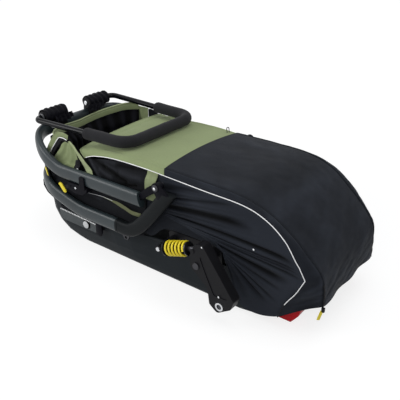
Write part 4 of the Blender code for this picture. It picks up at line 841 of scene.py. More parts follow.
class Look:
    """Every finish on the trailer."""

    tube = Coat("satin_black_tube", (0.0200, 0.0290, 0.0330), roughness=0.34, rub=0.25, specular=0.36)
    elbow = Coat("dull_black_tube", (0.0065, 0.0080, 0.0090), roughness=0.42, rub=0.3, specular=0.08)
    bar = Coat("gloss_black_bar", (0.0030, 0.0035, 0.0050), roughness=0.12, rub=0.2, specular=0.13)
    steel = Coat("bright_steel", (0.62, 0.63, 0.65), roughness=0.24, metallic=1.0, rub=0.1)
    dark_steel = Coat("blackened_steel", (0.045, 0.045, 0.050), roughness=0.38, metallic=1.0, rub=0.4)
    collar = Coat("grey_collar", (0.060, 0.063, 0.070), roughness=0.35, rub=0.2)
    spring = Coat("yellow_enamel", (0.95, 0.76, 0.030), roughness=0.28, rub=0.0, specular=0.35)
    pull = Coat("yellow_plastic", (0.88, 0.72, 0.03), roughness=0.45, rub=0.05)
    black_cloth = Woven("black_cover_cloth", (0.0150, 0.0172, 0.0225), roughness=0.60, sheen=0.012)
    # Darker than the cover's cloth: black cloth with painted shade for the inside of the cabin.
    lining = Woven("black_lining", (0.0035, 0.0036, 0.0050), roughness=0.7, sheen=0.02, crease=0.0008)
    green_cloth = Woven("green_cloth", (0.262, 0.312, 0.158), roughness=0.85, sheen=0.10, crease=0.0004, spread=0.07)
    # Paler copy of the green cloth for rolled and folded edges: painted highlight where they face the light.
    green_edge = Woven("green_edge", (0.360, 0.410, 0.230), roughness=0.85, sheen=0.10, crease=0.0003, spread=0.10)
    green_tape = Webbing("green_tape", (0.260, 0.305, 0.160))
    olive_tape = Webbing("olive_tape", (0.140, 0.150, 0.075))
    black_tape = Webbing("black_tape", (0.006, 0.006, 0.008))
    net = Netting("black_net", (0.0140, 0.0150, 0.0180))
    piping = Coat("reflective_piping", (1.0, 1.0, 1.0), roughness=0.45, rub=0.0)
    foam = Pebbled("grip_foam", (0.0145, 0.0145, 0.0165))
    tub = Moulded("tub_plastic", (0.0150, 0.0185, 0.0215), roughness=0.50, grain=0.0016, specular=0.07)
    plastic = Moulded("black_plastic", (0.0085, 0.0085, 0.0100), roughness=0.40, grain=0.0010)
    rubber = Moulded("black_rubber", (0.0050, 0.0050, 0.0075), roughness=0.5, grain=0.0012, depth=0.0002, specular=0.05)
    collar_light = Coat("bright_crest", (0.55, 0.56, 0.57), roughness=0.35, rub=0.1)
    socket = Moulded("socket_plastic", (0.075, 0.083, 0.086), roughness=0.42, grain=0.0022, depth=0.0004)
    lens = Lens("red_lens", (0.90, 0.008, 0.020))
    mat = Woven("grey_mat", (0.085, 0.088, 0.092), pitch=0.0012, roughness=0.9, sheen=0.3, crease=0.0006)


def dress(obj: bpy.types.Object, finish: Finish) -> None:
    """Give an object one finish all over."""
    obj.data.materials.clear()
    obj.data.materials.append(finish.material())


def carried(obj: bpy.types.Object, finish: Finish, body: str, slot: str, *nodes: str) -> bpy.types.Object:
    """Finish a rigid piece and let it ride on a body.

    Args:
        obj: The piece, in its place.
        finish: Its finish.
        body: The CAD body that it moves with.
        slot: The record's material slot.
        *nodes: CAD nodes that it stands for.

    Returns:
        The same piece.
    """
    settle(obj)
    dress(obj, finish)
    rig.slot(obj, slot)
    if nodes:
        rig.replaces(obj, *nodes)
    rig.ride(obj, body)
    LOG.info("%s rides on %s", obj.name, body)
    return obj


FOLD = ("chassis", "hoop")


def stretched(obj: bpy.types.Object, finish: Finish, bodies: tuple[str, str], start: Sequence[float],
              end: Sequence[float], slot: str, *nodes: str) -> bpy.types.Object:
    """Finish a soft piece that bends between two bodies, as carried() does for a rigid one."""
    settle(obj)
    dress(obj, finish)
    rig.slot(obj, slot)
    if nodes:
        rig.replaces(obj, *nodes)
    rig.blend(obj, *bodies, start=start, end=end)
    LOG.info("%s bends between %s and %s", obj.name, *bodies)
    return obj


# Frame tubes
@dataclass(frozen=True)
class Hoops:
    """The two flat-oval hoops and the elbows that end the lower one."""

    half: float = 0.236
    wide: float = 0.026
    tall: float = 0.046
    front_x: float = -0.576
    hoop_bend: float = 0.130
    hoop_end_x: float = -0.044
    loop_bend: float = 0.150
    loop_end_x: float = -0.144
    step_in: float = 0.006
    cut_z: float = 0.3235

    def hoop_z(self, x: float) -> float:
        """Height of the upper hoop's centre line."""
        return 0.276 + 0.076 * smooth_step((self.front_x + 0.196 - x) / 0.196)

    def loop_z(self, x: float) -> float:
        """Height of the lower loop's centre line."""
        return 0.155 + 0.060 * smooth_step((self.front_x + self.step_in + 0.290 - x) / 0.290)

    def path(self, end_x: float, front_x: float, bend: float, height: Callable[[float], float]) -> list[Vector]:
        """Centre line of a hoop, round the front from the left end to the right one."""
        corners = [(end_x, -self.half), (front_x, -self.half), (front_x, self.half), (end_x, self.half)]
        plan = even(fillet(corners, [0, bend, bend, 0], 24), 0.009)
        return [Vector((p[0], p[1], height(p[0]))) for p in plan] + [Vector((end_x, self.half, height(end_x)))]

    def hoop_path(self) -> list[Vector]:
        """Centre line of the upper hoop."""
        return self.path(self.hoop_end_x, self.front_x, self.hoop_bend, self.hoop_z)

    def loop_path(self) -> list[Vector]:
        """Centre line of the lower loop."""
        return self.path(self.loop_end_x, self.front_x + self.step_in, self.loop_bend, self.loop_z)

    def build(self) -> None:
        """Make both hoops and the elbows that end the lower one."""
        section = oval(self.wide, self.tall)
        up = Vector((0, 0, 1))
        for name, path, body in (("upper_hoop", self.hoop_path(), "hoop"), ("lower_loop", self.loop_path(), "chassis")):
            tube = swept(name + "_tube", path, section, up)
            if body == "hoop":
                self.slant(tube)
            carried(tube, Look.tube, body, "black_tube", name)
        for side in Side:
            self.elbow(side)

    def slant(self, tube: bpy.types.Object) -> None:
        """Cut the rails' ends on a slope, lower edge further back."""
        for vertex in tube.data.vertices:
            if vertex.co.x > self.hoop_end_x - 0.001:
                vertex.co.x += 0.010 - 0.014 * (vertex.co.z - self.hoop_z(0.0) + self.tall / 2) / self.tall
        tube.data.update()

    def elbow(self, side: Side) -> None:
        """Smoothly bent tube from the loop's end up to the pivot, its joint ring and its cast lug."""
        knots = ((-0.1434, 0.1550), (-0.117, 0.1528), (-0.090, 0.1575), (-0.060, 0.1755), (-0.030, 0.2045),
                 (0.000, 0.2395), (0.030, 0.2765), (0.049, 0.3010), (0.070, 0.3290))
        line = Line(tuple((x, -self.half, z) for x, z in knots)).points(61)
        line = line[:-6] + [line[-1]]
        tube = swept(f"{side.label}_elbow_tube", line, oval(self.wide, self.tall), Vector((0, 0, 1)))
        foot, along = line[-1], (line[-1] - line[-2]).normalized()
        for vertex in tube.data.vertices:
            if (vertex.co - foot).dot(along) > -0.0005:
                vertex.co += along * ((self.cut_z - vertex.co.z) / along.z)
        for vertex in tube.data.vertices:
            vertex.co = side.place(vertex.co)
        if side is Side.RIGHT:
            tube.data.flip_normals()
        carried(tube, Look.elbow, "chassis", "black_tube", f"{side.label}_elbow")
        run = [side.place((x, -self.half, 0.1548)) for x in (-0.1475, -0.1465, -0.1405, -0.1395)]
        collar = swept(f"{side.label}_elbow_ring", run, oval(self.wide + 0.0016, self.tall + 0.0016), Vector((0, 0, 1)))
        carried(collar, Look.elbow, "chassis", "black_tube")
        pivot = (0.029, 0.338)
        outline = arc(pivot, 0.0150, 30, 232, 18) + [(0.030, 0.3110), (0.040, 0.2990), (0.066, 0.3080),
                                                     (0.0745, 0.3225)]
        lug = plate(f"{side.label}_elbow_lug", side, outline, -self.half - 0.0125, -self.half - 0.0033)
        carried(lug, Look.rubber, "chassis", "black_tube")
        arm = arc(pivot, 0.0125, -62, 118, 14) + [(-0.0120, 0.3250), (-0.0480, 0.2920), (-0.0480, 0.2680),
                                                  (-0.004, 0.3010)]
        knuckle = plate(f"{side.label}_knuckle_arm", side, arm, -self.half - 0.0028, -self.half + 0.0128)
        carried(knuckle, Look.rubber, "hoop", "black_plastic", f"{side.label}_hoop_knuckle")
        for name, out, radius, tall in (("pivot_cap", 0.0125, 0.0135, 0.0032), ("pivot_nut", 0.0170, 0.0046, 0.0032)):
            place = side.place((pivot[0], -self.half - out, pivot[1]))
            finish = Look.rubber if name == "pivot_cap" else Look.steel
            head = stud(f"{side.label}_{name}", place, side.place((0, -1, 0)), radius, tall)
            carried(head, finish, "chassis", "steel")


@dataclass(frozen=True)
class Handlebar:
    """The folded handlebar: its tube, foam grip, collars and hubs' sleeves."""

    axis_x: float = -0.568
    axis_z: float = 0.400
    reach: float = 0.411
    half: float = 0.184
    grip_half: float = 0.161
    tube_start: float = 0.128
    radius: float = 0.010
    foam_radius: float = 0.019
    foam_reach: float = 0.176
    hub_inner: float = 0.052
    hub_outer: float = 0.150
    hub_radius: float = 0.021

    def path(self) -> list[Vector]:
        """Centre line of the tube, folded flat over the hoop."""
        x, grip = self.axis_x, self.axis_x + self.reach
        plan = ((x, self.tube_start), (x, self.half), (grip, self.grip_half))
        corners = [(a, -b, self.axis_z) for a, b in plan] + [(a, b, self.axis_z) for a, b in reversed(plan)]
        return even(fillet(corners, [0, 0.033, 0.055, 0.055, 0.033, 0], 14), 0.006)

    def grip(self, path: list[Vector]) -> bpy.types.Object:
        """Foam sleeve with rounded ends and a slightly uneven girth."""
        start = self.axis_x + self.reach - self.foam_reach
        run = [p for p in path if p.x > start]
        last = len(run) - 1

        def girth(share: float) -> float:
            end = min(share, 1 - share) * last * 0.006
            rounded = math.sqrt(max(0.0, 1 - (1 - min(1.0, (end + 0.0012) / 0.006)) ** 2))
            return (0.80 + 0.20 * rounded) * (1 + 0.010 * ripple((share * 9, 0, 0), (1, 1, 1), 3.0))

        grip = swept("foam_grip_sleeve", run, ring(self.foam_radius, 32), Vector((0, 0, 1)), girth)
        ruffle(grip, lambda p: 0.0006 * ripple(p, (0.03, 0.03, 0.03), 5.0))
        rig.padded(carried(grip, Look.foam, "handlebar", "foam", "foam_grip"), fill=1.0)
        return grip

    def sleeve(self, side: Side) -> None:
        """Crumpled black cover gathered over a hub, open below where the hub sits on the hoop."""
        low, high = self.hub_inner + 0.004, self.hub_outer - 0.001

        def place(u: float, w: float) -> Vector:
            turn = math.radians(-48 + 262 * w)
            y = -(low + (high - low) * u + 0.0030 * ripple((turn * 1.3, u, 0), (1, 1, 1), 9.0 + side.value))
            gather = math.sin(2 * math.pi * (4.3 * u + 0.22 * math.sin(2.2 * turn + side.value) + 0.10 * turn))
            gather = math.copysign(abs(gather) ** 0.7, gather)
            crumple = ripple((u * 4.5, turn * 1.6, 0), (1, 1, 1), 2.0 + side.value)
            fine = ripple((u * 14, turn * 4.0, 0), (1, 1, 1), 5.5 + side.value)
            body = math.sin(math.pi * min(1.0, max(0.0, u * 0.94 + 0.04))) ** 0.35
            radius = self.hub_radius + 0.0026 + body * (0.0012 + 0.0012 * gather + 0.0016 * crumple + 0.0006 * fine)
            radius = max(radius, self.hub_radius + 0.0016)
            return side.place((self.axis_x + radius * math.cos(turn), y, self.axis_z + radius * math.sin(turn)))

        sleeve = patch(f"{side.label}_hub_sleeve", 90, 80, place, Vector((0, 0, 1)))
        modify(sleeve, "SOLIDIFY", thickness=0.0011, offset=-1.0)
        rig.sheet(carried(shade(sleeve, 70), Look.rubber, "hoop", "black_cloth"), flat=(0.093, 0.112), held="gathered",
                 rests_on=[f"{side.label}_handle_hub"])
        self.fray(side)

    def fray(self, side: Side) -> None:
        """Loose end of the hub's cover, hanging ragged over the saddle to the hoop."""
        x, z = self.axis_x, self.axis_z

        def place(u: float, t: float) -> Vector:
            y = -(0.038 + 0.078 * u)
            ragged = 0.5 + 0.5 * ripple((u * 11, 0.3, 0), (1, 1, 1), 4.0 + side.value)
            drop = t * (0.019 + 0.012 * ragged) * (0.72 + 0.28 * math.sin(math.pi * u))
            bulge = 0.0026 * math.sin(2 * math.pi * (4.2 * u + 0.4 * t)) * t + 0.0016 * ripple(
                (u * 9, t * 3, 0), (1, 1, 1), 7.0 + side.value)
            return side.place((x + 0.0246 + 0.0045 * t + bulge, y, z - 0.0020 - drop))

        hem = patch(f"{side.label}_hub_sleeve_end", 70, 24, place, Vector((1, 0, 0)))
        modify(hem, "SOLIDIFY", thickness=0.0011, offset=-1.0)
        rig.sheet(carried(shade(hem, 70), Look.rubber, "hoop", "black_cloth"), flat=(0.080, 0.026), held="hung",
                 rests_on=[f"{side.label}_hub_sleeve"])

    def collar(self, side: Side) -> None:
        """Grey end ring where the tube leaves its hub."""
        run = [side.place((self.axis_x, -(self.hub_outer + 0.0012 + 0.0065 * i / 6), self.axis_z)) for i in range(7)]
        carried(swept(f"{side.label}_bar_collar", run, ring(0.0138, 32), None,
                      lambda t: 1.0 - 0.10 * (2 * t - 1) ** 4), Look.collar, "handlebar", "black_plastic")

    def build(self) -> None:
        """Make the handlebar's pieces."""
        path = self.path()
        carried(swept("handlebar_rod", path, ring(self.radius, 28), Vector((0, 0, 1))), Look.bar, "handlebar",
                "black_tube", "handlebar_tube")
        self.grip(path)
        for side in Side:
            self.sleeve(side)
            self.collar(side)


# Cloth cabin
@dataclass(frozen=True)
class Cabin:
    """Lines that the cover, the roof and the side panels share."""

    rear_x: float = 0.533
    roof_z: float = 0.382
    half: float = 0.207
    boundary_x: float = 0.005

    def crown(self) -> Line:
        """Middle line of the cover."""
        r, z = self.rear_x, self.roof_z
        return Line(((self.boundary_x, 0, z), (0.150, 0, z - 0.001), (0.28, 0, z - 0.006), (r - 0.168, 0, z - 0.033),
                     (r - 0.098, 0, z - 0.084), (r - 0.043, 0, z - 0.137), (r - 0.013, 0, z - 0.187),
                     (r - 0.003, 0, z - 0.225), (r, 0, z - 0.254), (r, 0, z - 0.279)))

    def seam(self) -> Line:
        """Shoulder seam of the cover."""
        r, z, h = self.rear_x, self.roof_z, self.half
        return Line(((self.boundary_x + 0.006, -h + 0.022, z - 0.009), (0.150, -h + 0.018, z - 0.009),
                     (0.28, -h + 0.018, z - 0.015), (r - 0.171, -h + 0.022, z - 0.040),
                     (r - 0.102, -h + 0.029, z - 0.086), (r - 0.048, -h + 0.032, z - 0.135),
                     (r - 0.011, -h + 0.038, z - 0.180), (r - 0.001, -h + 0.043, z - 0.225),
                     (r, -h + 0.047, z - 0.257), (r - 0.001, -h + 0.050, z - 0.284)))

    def piping(self) -> Line:
        """Piped edge of the cover."""
        r, z, h = self.rear_x, self.roof_z, self.half
        return Line(((self.boundary_x + 0.022, -h + 0.002, z - 0.021), (0.170, -h, z - 0.026),
                     (0.300, -h, z - 0.031), (r - 0.161, -h + 0.001, z - 0.053), (r - 0.105, -h + 0.002, z - 0.093),
                     (r - 0.070, -h + 0.002, z - 0.140), (r - 0.038, -h + 0.004, z - 0.191),
                     (r - 0.061, -h + 0.005, z - 0.240), (r - 0.093, -h + 0.007, z - 0.292),
                     (r - 0.112, -h + 0.008, z - 0.343)))

    def edge(self, s: float) -> Vector:
        """The piped edge with its sharp corner at the tail."""
        line, start, end = self.piping(), 5.35, 6.9
        if not start < s < end:
            return line.at(s)
        low, high = (start, 6.0) if s <= 6 else (6.0, end)
        return line.at(low).lerp(line.at(high), (s - low) / (high - low))

    def gusset(self) -> Line:
        """Middle of the strip between the seam and the piping."""
        middle = []
        for index, (a, b) in enumerate(zip(self.seam().knots, self.piping().knots)):
            tail = smooth_step((index - 3) / 2)
            bulge = Vector((0.002 + 0.002 * tail, -0.0035, 0.002))
            middle.append((Vector(a) + Vector(b)) / 2 + bulge)
        middle[-1] = Vector((self.rear_x - 0.049, -self.half + 0.020, self.roof_z - 0.300))
        return Line(tuple(middle))

    def green_crown(self) -> Line:
        """Middle line of the green roof."""
        z = self.roof_z
        return Line(((-0.345, 0, z - 0.021), (-0.290, 0, z - 0.014), (-0.200, 0, z - 0.0065), (-0.100, 0, z - 0.0025),
                     (self.boundary_x - 0.0008, 0, z)))

    def green_seam(self) -> Line:
        """Shoulder of the green roof, from its front tip."""
        return Line(((-0.335, -0.195, 0.3520), (-0.2845, -0.182, 0.3655), (-0.200, -0.178, 0.3728),
                     (-0.090, -0.179, 0.3755), (self.boundary_x + 0.0052, -0.185, self.roof_z - 0.009)))

    def green_edge(self) -> Line:
        """Piped edge of the green roof."""
        return Line(((-0.309, -0.2000, 0.3310), (-0.262, -0.2035, 0.3485), (-0.1835, -0.2040, 0.3605),
                     (-0.0675, -0.2040, 0.3632), (self.boundary_x + 0.0212, -0.205, self.roof_z - 0.021)))


TOP_SHARE = 0.68


def across(crown: Vector, seam: Vector, middle: Vector, edge: Vector, w: float) -> Vector:
    """A point across the cover: w from -1 at the left edge to 1 at the right one."""
    share = abs(w)
    if share <= TOP_SHARE:
        t = share / TOP_SHARE
        point = Vector((crown.x + (seam.x - crown.x) * t * t, seam.y * t, crown.z + (seam.z - crown.z) * t * t))
    else:
        t = (share - TOP_SHARE) / (1 - TOP_SHARE)
        point = seam * (2 * (t - 0.5) * (t - 1)) + middle * (4 * t * (1 - t)) + edge * (2 * t * (t - 0.5))
    return Vector((point.x, point.y if w <= 0 else -point.y, point.z))


@dataclass(frozen=True)
class RearCover:
    """Black rain cover from the green roof over the tail, with its seams and piping."""

    cabin: Cabin
    thickness: float = 0.0022

    def point(self, s: float, w: float) -> Vector:
        """The cover's outer face at rest, without wrinkles; s from 0 to 9."""
        c = self.cabin
        return across(c.crown().at(s), c.seam().at(s), c.gusset().at(s), c.piping().at(s), w)

    def wrinkles(self, s: float, w: float) -> float:
        """Height of the cloth's wrinkles."""
        tail = smooth_step((s - 4.5) / 2.5)
        top = 0.0012 * ripple((s, w, 0), (1.7, 0.22, 1), 1.5) + 0.0006 * ripple((s, w, 0), (0.5, 0.12, 1), 7.1)
        slant = s * 0.9 + w * 3.2
        folds = 0.0022 * tail * ripple((slant, s * 0.35, w), (0.55, 1, 1.2), 4.2)
        sag = -0.0016 * bell(s - 2.35, 0.5) * (1 - abs(w)) + 0.0010 * bell(s - 3.2, 0.3)
        pinch = -0.0013 * bell(abs(w) - TOP_SHARE, 0.018) + 0.0005 * bell(abs(w) - TOP_SHARE - 0.05, 0.03)
        calm = min(1.0, 8 * min(s, 9 - s) / 9 + 0.15) * min(1.0, (1 - abs(w)) * 9)
        streak = 0.0007 * ripple((s + 1.6 * w, w * 3, 0), (0.30, 1.5, 1), 2.4)
        streak += 0.0005 * ripple((s, w, 0), (0.22, 0.09, 1), 5.2)
        hem = 0.0030 * smooth_step((s - 7.4) / 1.6) * math.sin(11 * w + 1.2) * min(1.0, (1 - abs(w)) * 4)
        return (top + folds + sag + streak) * calm + pinch + hem

    def surface(self, s: float, w: float, lift: float) -> tuple[Vector, Vector]:
        """A point held above the wrinkled cloth, and the way the cloth faces there."""
        along = self.point(min(9.0, s + 0.02), w) - self.point(max(0.0, s - 0.02), w)
        normal = along.cross(self.point(s, w + 0.01) - self.point(s, w - 0.01)).normalized()
        return self.point(s, w) + normal * (self.wrinkles(s, w) + lift), normal

    def build(self) -> None:
        """Make the cover."""
        lines = [(self.cabin.crown().at(9 * i / 200), self.cabin.seam().at(9 * i / 200),
                  self.cabin.gusset().at(9 * i / 200), self.cabin.edge(9 * i / 200)) for i in range(201)]

        def place(u: float, v: float) -> Vector:
            return across(*lines[round(u * 200)], 2 * v - 1)

        cover = patch("rear_cover_cloth", 200, 110, place, Vector((0.4, 0, 1)))
        grid = [(i / 200 * 9, 2 * j / 110 - 1) for j in range(111) for i in range(201)]
        moves = [v.normal * self.wrinkles(*grid[v.index]) for v in cover.data.vertices]
        for vertex, move in zip(cover.data.vertices, moves):
            vertex.co += move
        # Wrinkle heights for painted shade in the hollows and painted highlight on the ridges.
        relieve(cover, 200, 110, lambda u, t: 220 * self.wrinkles(9 * u, 2 * t - 1))
        modify(cover, "SOLIDIFY", thickness=self.thickness, offset=-1.0)
        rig.sheet(carried(shade(cover, 60), Look.black_cloth, "chassis", "black_cloth", "rear_cover"),
                 flat=(0.50, 0.72), held="stretched", rests_on=["rear_bow"])
        for side in Side:
            self.seams(side)

    def seams(self, side: Side) -> None:
        """Piping, the welt along the shoulder and its stitches."""
        edge = []
        for i in range(241):
            inward = -0.0010 * smooth_step(9 * i / 240 - 3.5)
            edge.append(side.place(self.cabin.edge(8.0 * i / 240) + Vector((inward, -0.0006, 0))))
        carried(swept(f"{side.label}_cover_piping", edge, ring(0.0013, 10)), Look.piping, "chassis", "black_cloth")
        hem = [side.place(self.cabin.edge(7.97 + 1.03 * i / 40) + Vector((-0.0010, -0.0004, 0))) for i in range(41)]
        carried(swept(f"{side.label}_cover_hem", hem, ring(0.0013, 10)), Look.black_tape, "chassis", "black_cloth")
        share = -side.value * TOP_SHARE
        welt = [self.surface(8.9 * i / 180, share, 0.0006)[0] for i in range(181)]
        carried(swept(f"{side.label}_cover_welt", welt, ring(0.0011, 8)), Look.black_cloth, "chassis", "black_cloth")
        rows = []
        for offset in (-0.018, 0.022):
            line = [self.surface(8.8 * i / 300, share - side.value * offset, 0.0003) for i in range(301)]
            spots = even([point for point, _ in line], 0.0042)
            for here, after in zip(spots, spots[1:]):
                normal = min(line, key=lambda pair: (pair[0] - here).length_squared)[1]
                rows.append((here, after - here, normal))
        self.stitch(f"{side.label}_cover_stitches", rows)

    def stitch(self, name: str, rows: list[tuple[Vector, Vector, Vector]]) -> None:
        """A row of thread stitches, each a small bead pressed into the cloth."""
        deselect()
        bpy.ops.mesh.primitive_uv_sphere_add(segments=6, ring_count=4, radius=0.0004)
        bead = named(name + "_bead")
        bead.scale = (3.6, 1.0, 0.7)
        settle(bead)
        carried(repeated(name, bead, [facing(*row) for row in rows]), Look.black_tape, "chassis", "black_cloth")


@dataclass(frozen=True)
class GreenRoof:
    """Green roof over the cabin, carried by the hoop and sewn to the rear cover."""

    cabin: Cabin
    bend_start: float = 0.010
    bend_end: float = -0.080

    def bodies(self, obj: bpy.types.Object, finish: Finish, slot: str, *nodes: str) -> bpy.types.Object:
        """Let a piece of the roof bend from the cover's boundary to the hoop."""
        return stretched(obj, finish, FOLD, (self.bend_start, 0, 0.37), (self.bend_end, 0, 0.37), slot,
                         *nodes)

    def lift(self, u: float, w: float) -> float:
        """The far front corner is held higher by its flap."""
        return 0.0150 * smooth_step((w + 0.2) / 1.1) * (1 - smooth_step(u / 0.42))

    def build(self) -> None:
        """Make the roof cloth, its piping and the bound front edge."""
        c = self.cabin

        def place(u: float, v: float) -> Vector:
            s, w = 4 * u, 2 * v - 1
            edge, seam = c.green_edge().at(s), c.green_seam().at(s)
            middle = (edge + seam) / 2 + Vector((0, -0.004, 0.003)) * (1 - u ** 4)
            point = across(c.green_crown().at(s), seam, middle, edge, w)
            calm = min(1.0, 7 * min(u, 1 - u)) * min(1.0, 8 * (1 - abs(w)))
            wave = 0.0016 * ripple((u, w, 0), (0.35, 0.30, 1), 2.4) + 0.0006 * ripple((u, w, 0), (0.10, 0.14, 1), 5.0)
            point.z += wave * calm - 0.0011 * bell(abs(w) - TOP_SHARE, 0.02)
            point.z -= 0.0022 * calm * bell(u - 0.16, 0.05)
            point.z -= 0.0016 * bell(abs(w) - TOP_SHARE + 0.012, 0.020) * min(1.0, 6 * u + 0.2)
            point.z += self.lift(u, w)
            return point

        roof = patch("green_roof_cloth", 110, 110, place, Vector((0, 0, 1)))
        modify(roof, "SOLIDIFY", thickness=0.0024, offset=-1.0)
        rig.sheet(self.bodies(shade(roof, 60), Look.green_cloth, "green_cloth", "green_roof"), flat=(0.44, 0.37),
                 held="stretched", rests_on=["rear_cover_cloth"])
        rim = [place(0.0, v / 80) + Vector((-0.0004, 0, -0.0010)) for v in range(81)]
        self.bodies(swept("roof_front_binding", rim, ring(0.0030, 12)), Look.green_tape, "green_cloth")
        for side in Side:
            edge = [side.place(c.green_edge().at(4 * i / 90) + Vector((0, -0.0004, self.lift(i / 90, -side.value))))
                    for i in range(91)]
            self.bodies(swept(f"{side.label}_roof_piping", edge, ring(0.0013, 10)), Look.piping, "green_cloth")


@dataclass(frozen=True)
class SidePanel:
    """Black side cloth, gathered behind the elbow and pulled to the tail in radiating folds."""

    cabin: Cabin
    pivot_z: float = 0.338
    arm_x: float = 0.203
    valleys: tuple = ((0.120, 0.100, 0.1, 0.9, 0.016, 0.0026), (0.215, 0.190, 0.0, 0.9, 0.013, 0.0030),
                      (0.320, 0.345, 0.0, 0.8, 0.030, 0.0066), (0.425, 0.495, 0.1, 1.0, 0.013, 0.0072),
                      (0.520, 0.528, 0.2, 1.0, 0.007, 0.0044), (0.548, 0.550, 0.3, 1.0, 0.006, 0.0040),
                      (0.580, 0.574, 0.3, 1.0, 0.008, 0.0046), (0.655, 0.630, 0.1, 0.9, 0.020, 0.0066),
                      (0.730, 0.710, 0.2, 0.9, 0.010, 0.0034), (0.800, 0.780, 0.3, 0.9, 0.009, 0.0030),
                      (0.880, 0.850, 0.2, 0.8, 0.012, 0.0036))

    def outline(self) -> Line:
        """Outer edge, just inside the piping and round the hem."""
        c, edge = self.cabin, []
        for i in range(19):
            s = 9 * i / 18
            along = c.piping().at(min(9, s + 0.05)) - c.piping().at(max(0, s - 0.05))
            behind = smooth_step(s - 7.1)
            inward = Vector((along.z, 0, -along.x)).normalized() * 0.0025 * (1 - 2 * behind)
            edge.append(c.piping().at(s) + inward)
        r, z, h = c.rear_x, c.roof_z, c.half
        edge += [Vector((r - 0.163, -h + 0.006, z - 0.360)), Vector((self.arm_x + 0.107, -h + 0.005, z - 0.357)),
                 Vector((self.arm_x + 0.082, -h + 0.003, z - 0.325))]
        return Line(tuple(edge))

    def focus(self) -> Line:
        """Inner edge, gathered behind the elbow and over the spring."""
        x, z, h, a = self.cabin.boundary_x, self.pivot_z, self.cabin.half, self.arm_x
        return Line(((x - 0.045, -h + 0.003, self.cabin.roof_z - 0.026), (x - 0.050, -h + 0.002, z - 0.035),
                     (x - 0.046, -h + 0.002, z - 0.075), (x - 0.020, -h + 0.003, z - 0.100),
                     (x + 0.055, -h + 0.003, z - 0.114), (a - 0.050, -h + 0.003, z - 0.126),
                     (a + 0.012, -h + 0.003, z - 0.134), (a + 0.042, -h + 0.002, z - 0.172)))

    def folds(self, u: float, t: float, seed: float) -> float:
        """How far a fold goes inward; u runs round the fan and t from the gather outward."""
        total = 0.0
        for low, high, start, end, wide, deep in self.valleys:
            middle = low + (high - low) * t + 0.004 * math.sin(5 * t + 40 * low + seed)
            along = smooth_step((t - start) * 5 + 0.2) * smooth_step((end - t) * 5 + 0.2)
            total += deep * along * bell(u - middle, wide * (0.75 + 0.5 * t))
        tight = smooth_step((1 - t) * 1.8)
        small = 0.0006 * math.sin(2 * math.pi * (23 * u - 0.5 * t) + seed) * tight
        slack = 0.0014 * ripple((u * 6, t * 2.4, 0), (1, 1, 1), seed)
        calm = math.sin(math.pi * min(1.0, t * 0.97 + 0.03) ** 0.60) ** 0.5
        return min(0.0088, total * smooth_step((1 - t) * 9 + 0.15)) + calm * (small + slack)

    def build(self) -> None:
        """Make both panels."""
        outline, focus = self.outline(), self.focus()
        last = len(outline.knots) - 1
        for side in Side:
            def place(u: float, t: float) -> Vector:
                point = focus.share(u).lerp(outline.share(u), t)
                tuck = smooth_step(u * last / 2 - 6.3) * smooth_step((19.5 - u * last) / 1.5)
                point.y += 0.0075 * tuck * t ** 8
                point.y += self.folds(u, t, 2.0 + side.value) * smooth_step(u * 6) * (1 - tuck * t ** 6)
                point.y -= 0.001 * math.sin(math.pi * t)
                return side.place(point)

            panel = patch(f"{side.label}_side_panel_cloth", 340, 60, place, side.place((0, -1, 0)))
            # Fold depths for painted shade in the valleys and painted highlight on the ridges.
            relieve(panel, 340, 60, lambda u, t: 0.40 - self.folds(u, t, 2.0 + side.value) / 0.0040)
            modify(panel, "SOLIDIFY", thickness=0.0018, offset=-1.0)
            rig.sheet(carried(shade(panel, 70), Look.black_cloth, "chassis", "black_cloth", f"{side.label}_side_panel"),
                     flat=(0.56, 0.31), area=0.125, held="gathered", rests_on=["tub"])


@dataclass(frozen=True)
class Skirt:
    """Dark cloth that closes the side between the side panel, the tub's rim and the wheel arm."""

    def build(self) -> None:
        """Make both skirts."""
        top = Line(((-0.125, -0.1900, 0.322), (-0.085, -0.1905, 0.340), (-0.050, -0.1940, 0.340),
                    (-0.036, -0.2040, 0.262), (0.010, -0.2040, 0.240), (0.080, -0.2040, 0.229),
                    (0.150, -0.2040, 0.216), (0.216, -0.2045, 0.206)))
        low = Line(((-0.165, -0.1950, 0.190), (-0.128, -0.1980, 0.172), (-0.105, -0.2030, 0.160),
                    (-0.075, -0.2040, 0.146), (-0.030, -0.2035, 0.142), (0.020, -0.2035, 0.182),
                    (0.100, -0.2035, 0.191), (0.214, -0.2040, 0.190)))
        for side in Side:
            def place(u: float, t: float) -> Vector:
                point = low.share(u).lerp(top.share(u), t)
                wave = math.sin(2 * math.pi * (5.2 * u + 0.3 * t)) + 0.6 * ripple((u * 9, t * 3, 0), (1, 1, 1), 4.4)
                point.y -= 0.0010 * math.sin(math.pi * t) * (1 + wave) * (1 + smooth_step((0.35 - u) * 6))
                return side.place(point)

            skirt = patch(f"{side.label}_skirt_cloth", 140, 40, place, side.place((0, -1, 0)))
            modify(skirt, "SOLIDIFY", thickness=0.0014, offset=-1.0)
            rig.sheet(carried(shade(skirt, 70), Look.black_cloth, "chassis", "black_cloth"), flat=(0.38, 0.13),
                     area=0.0290, held="hung", rests_on=["tub"])


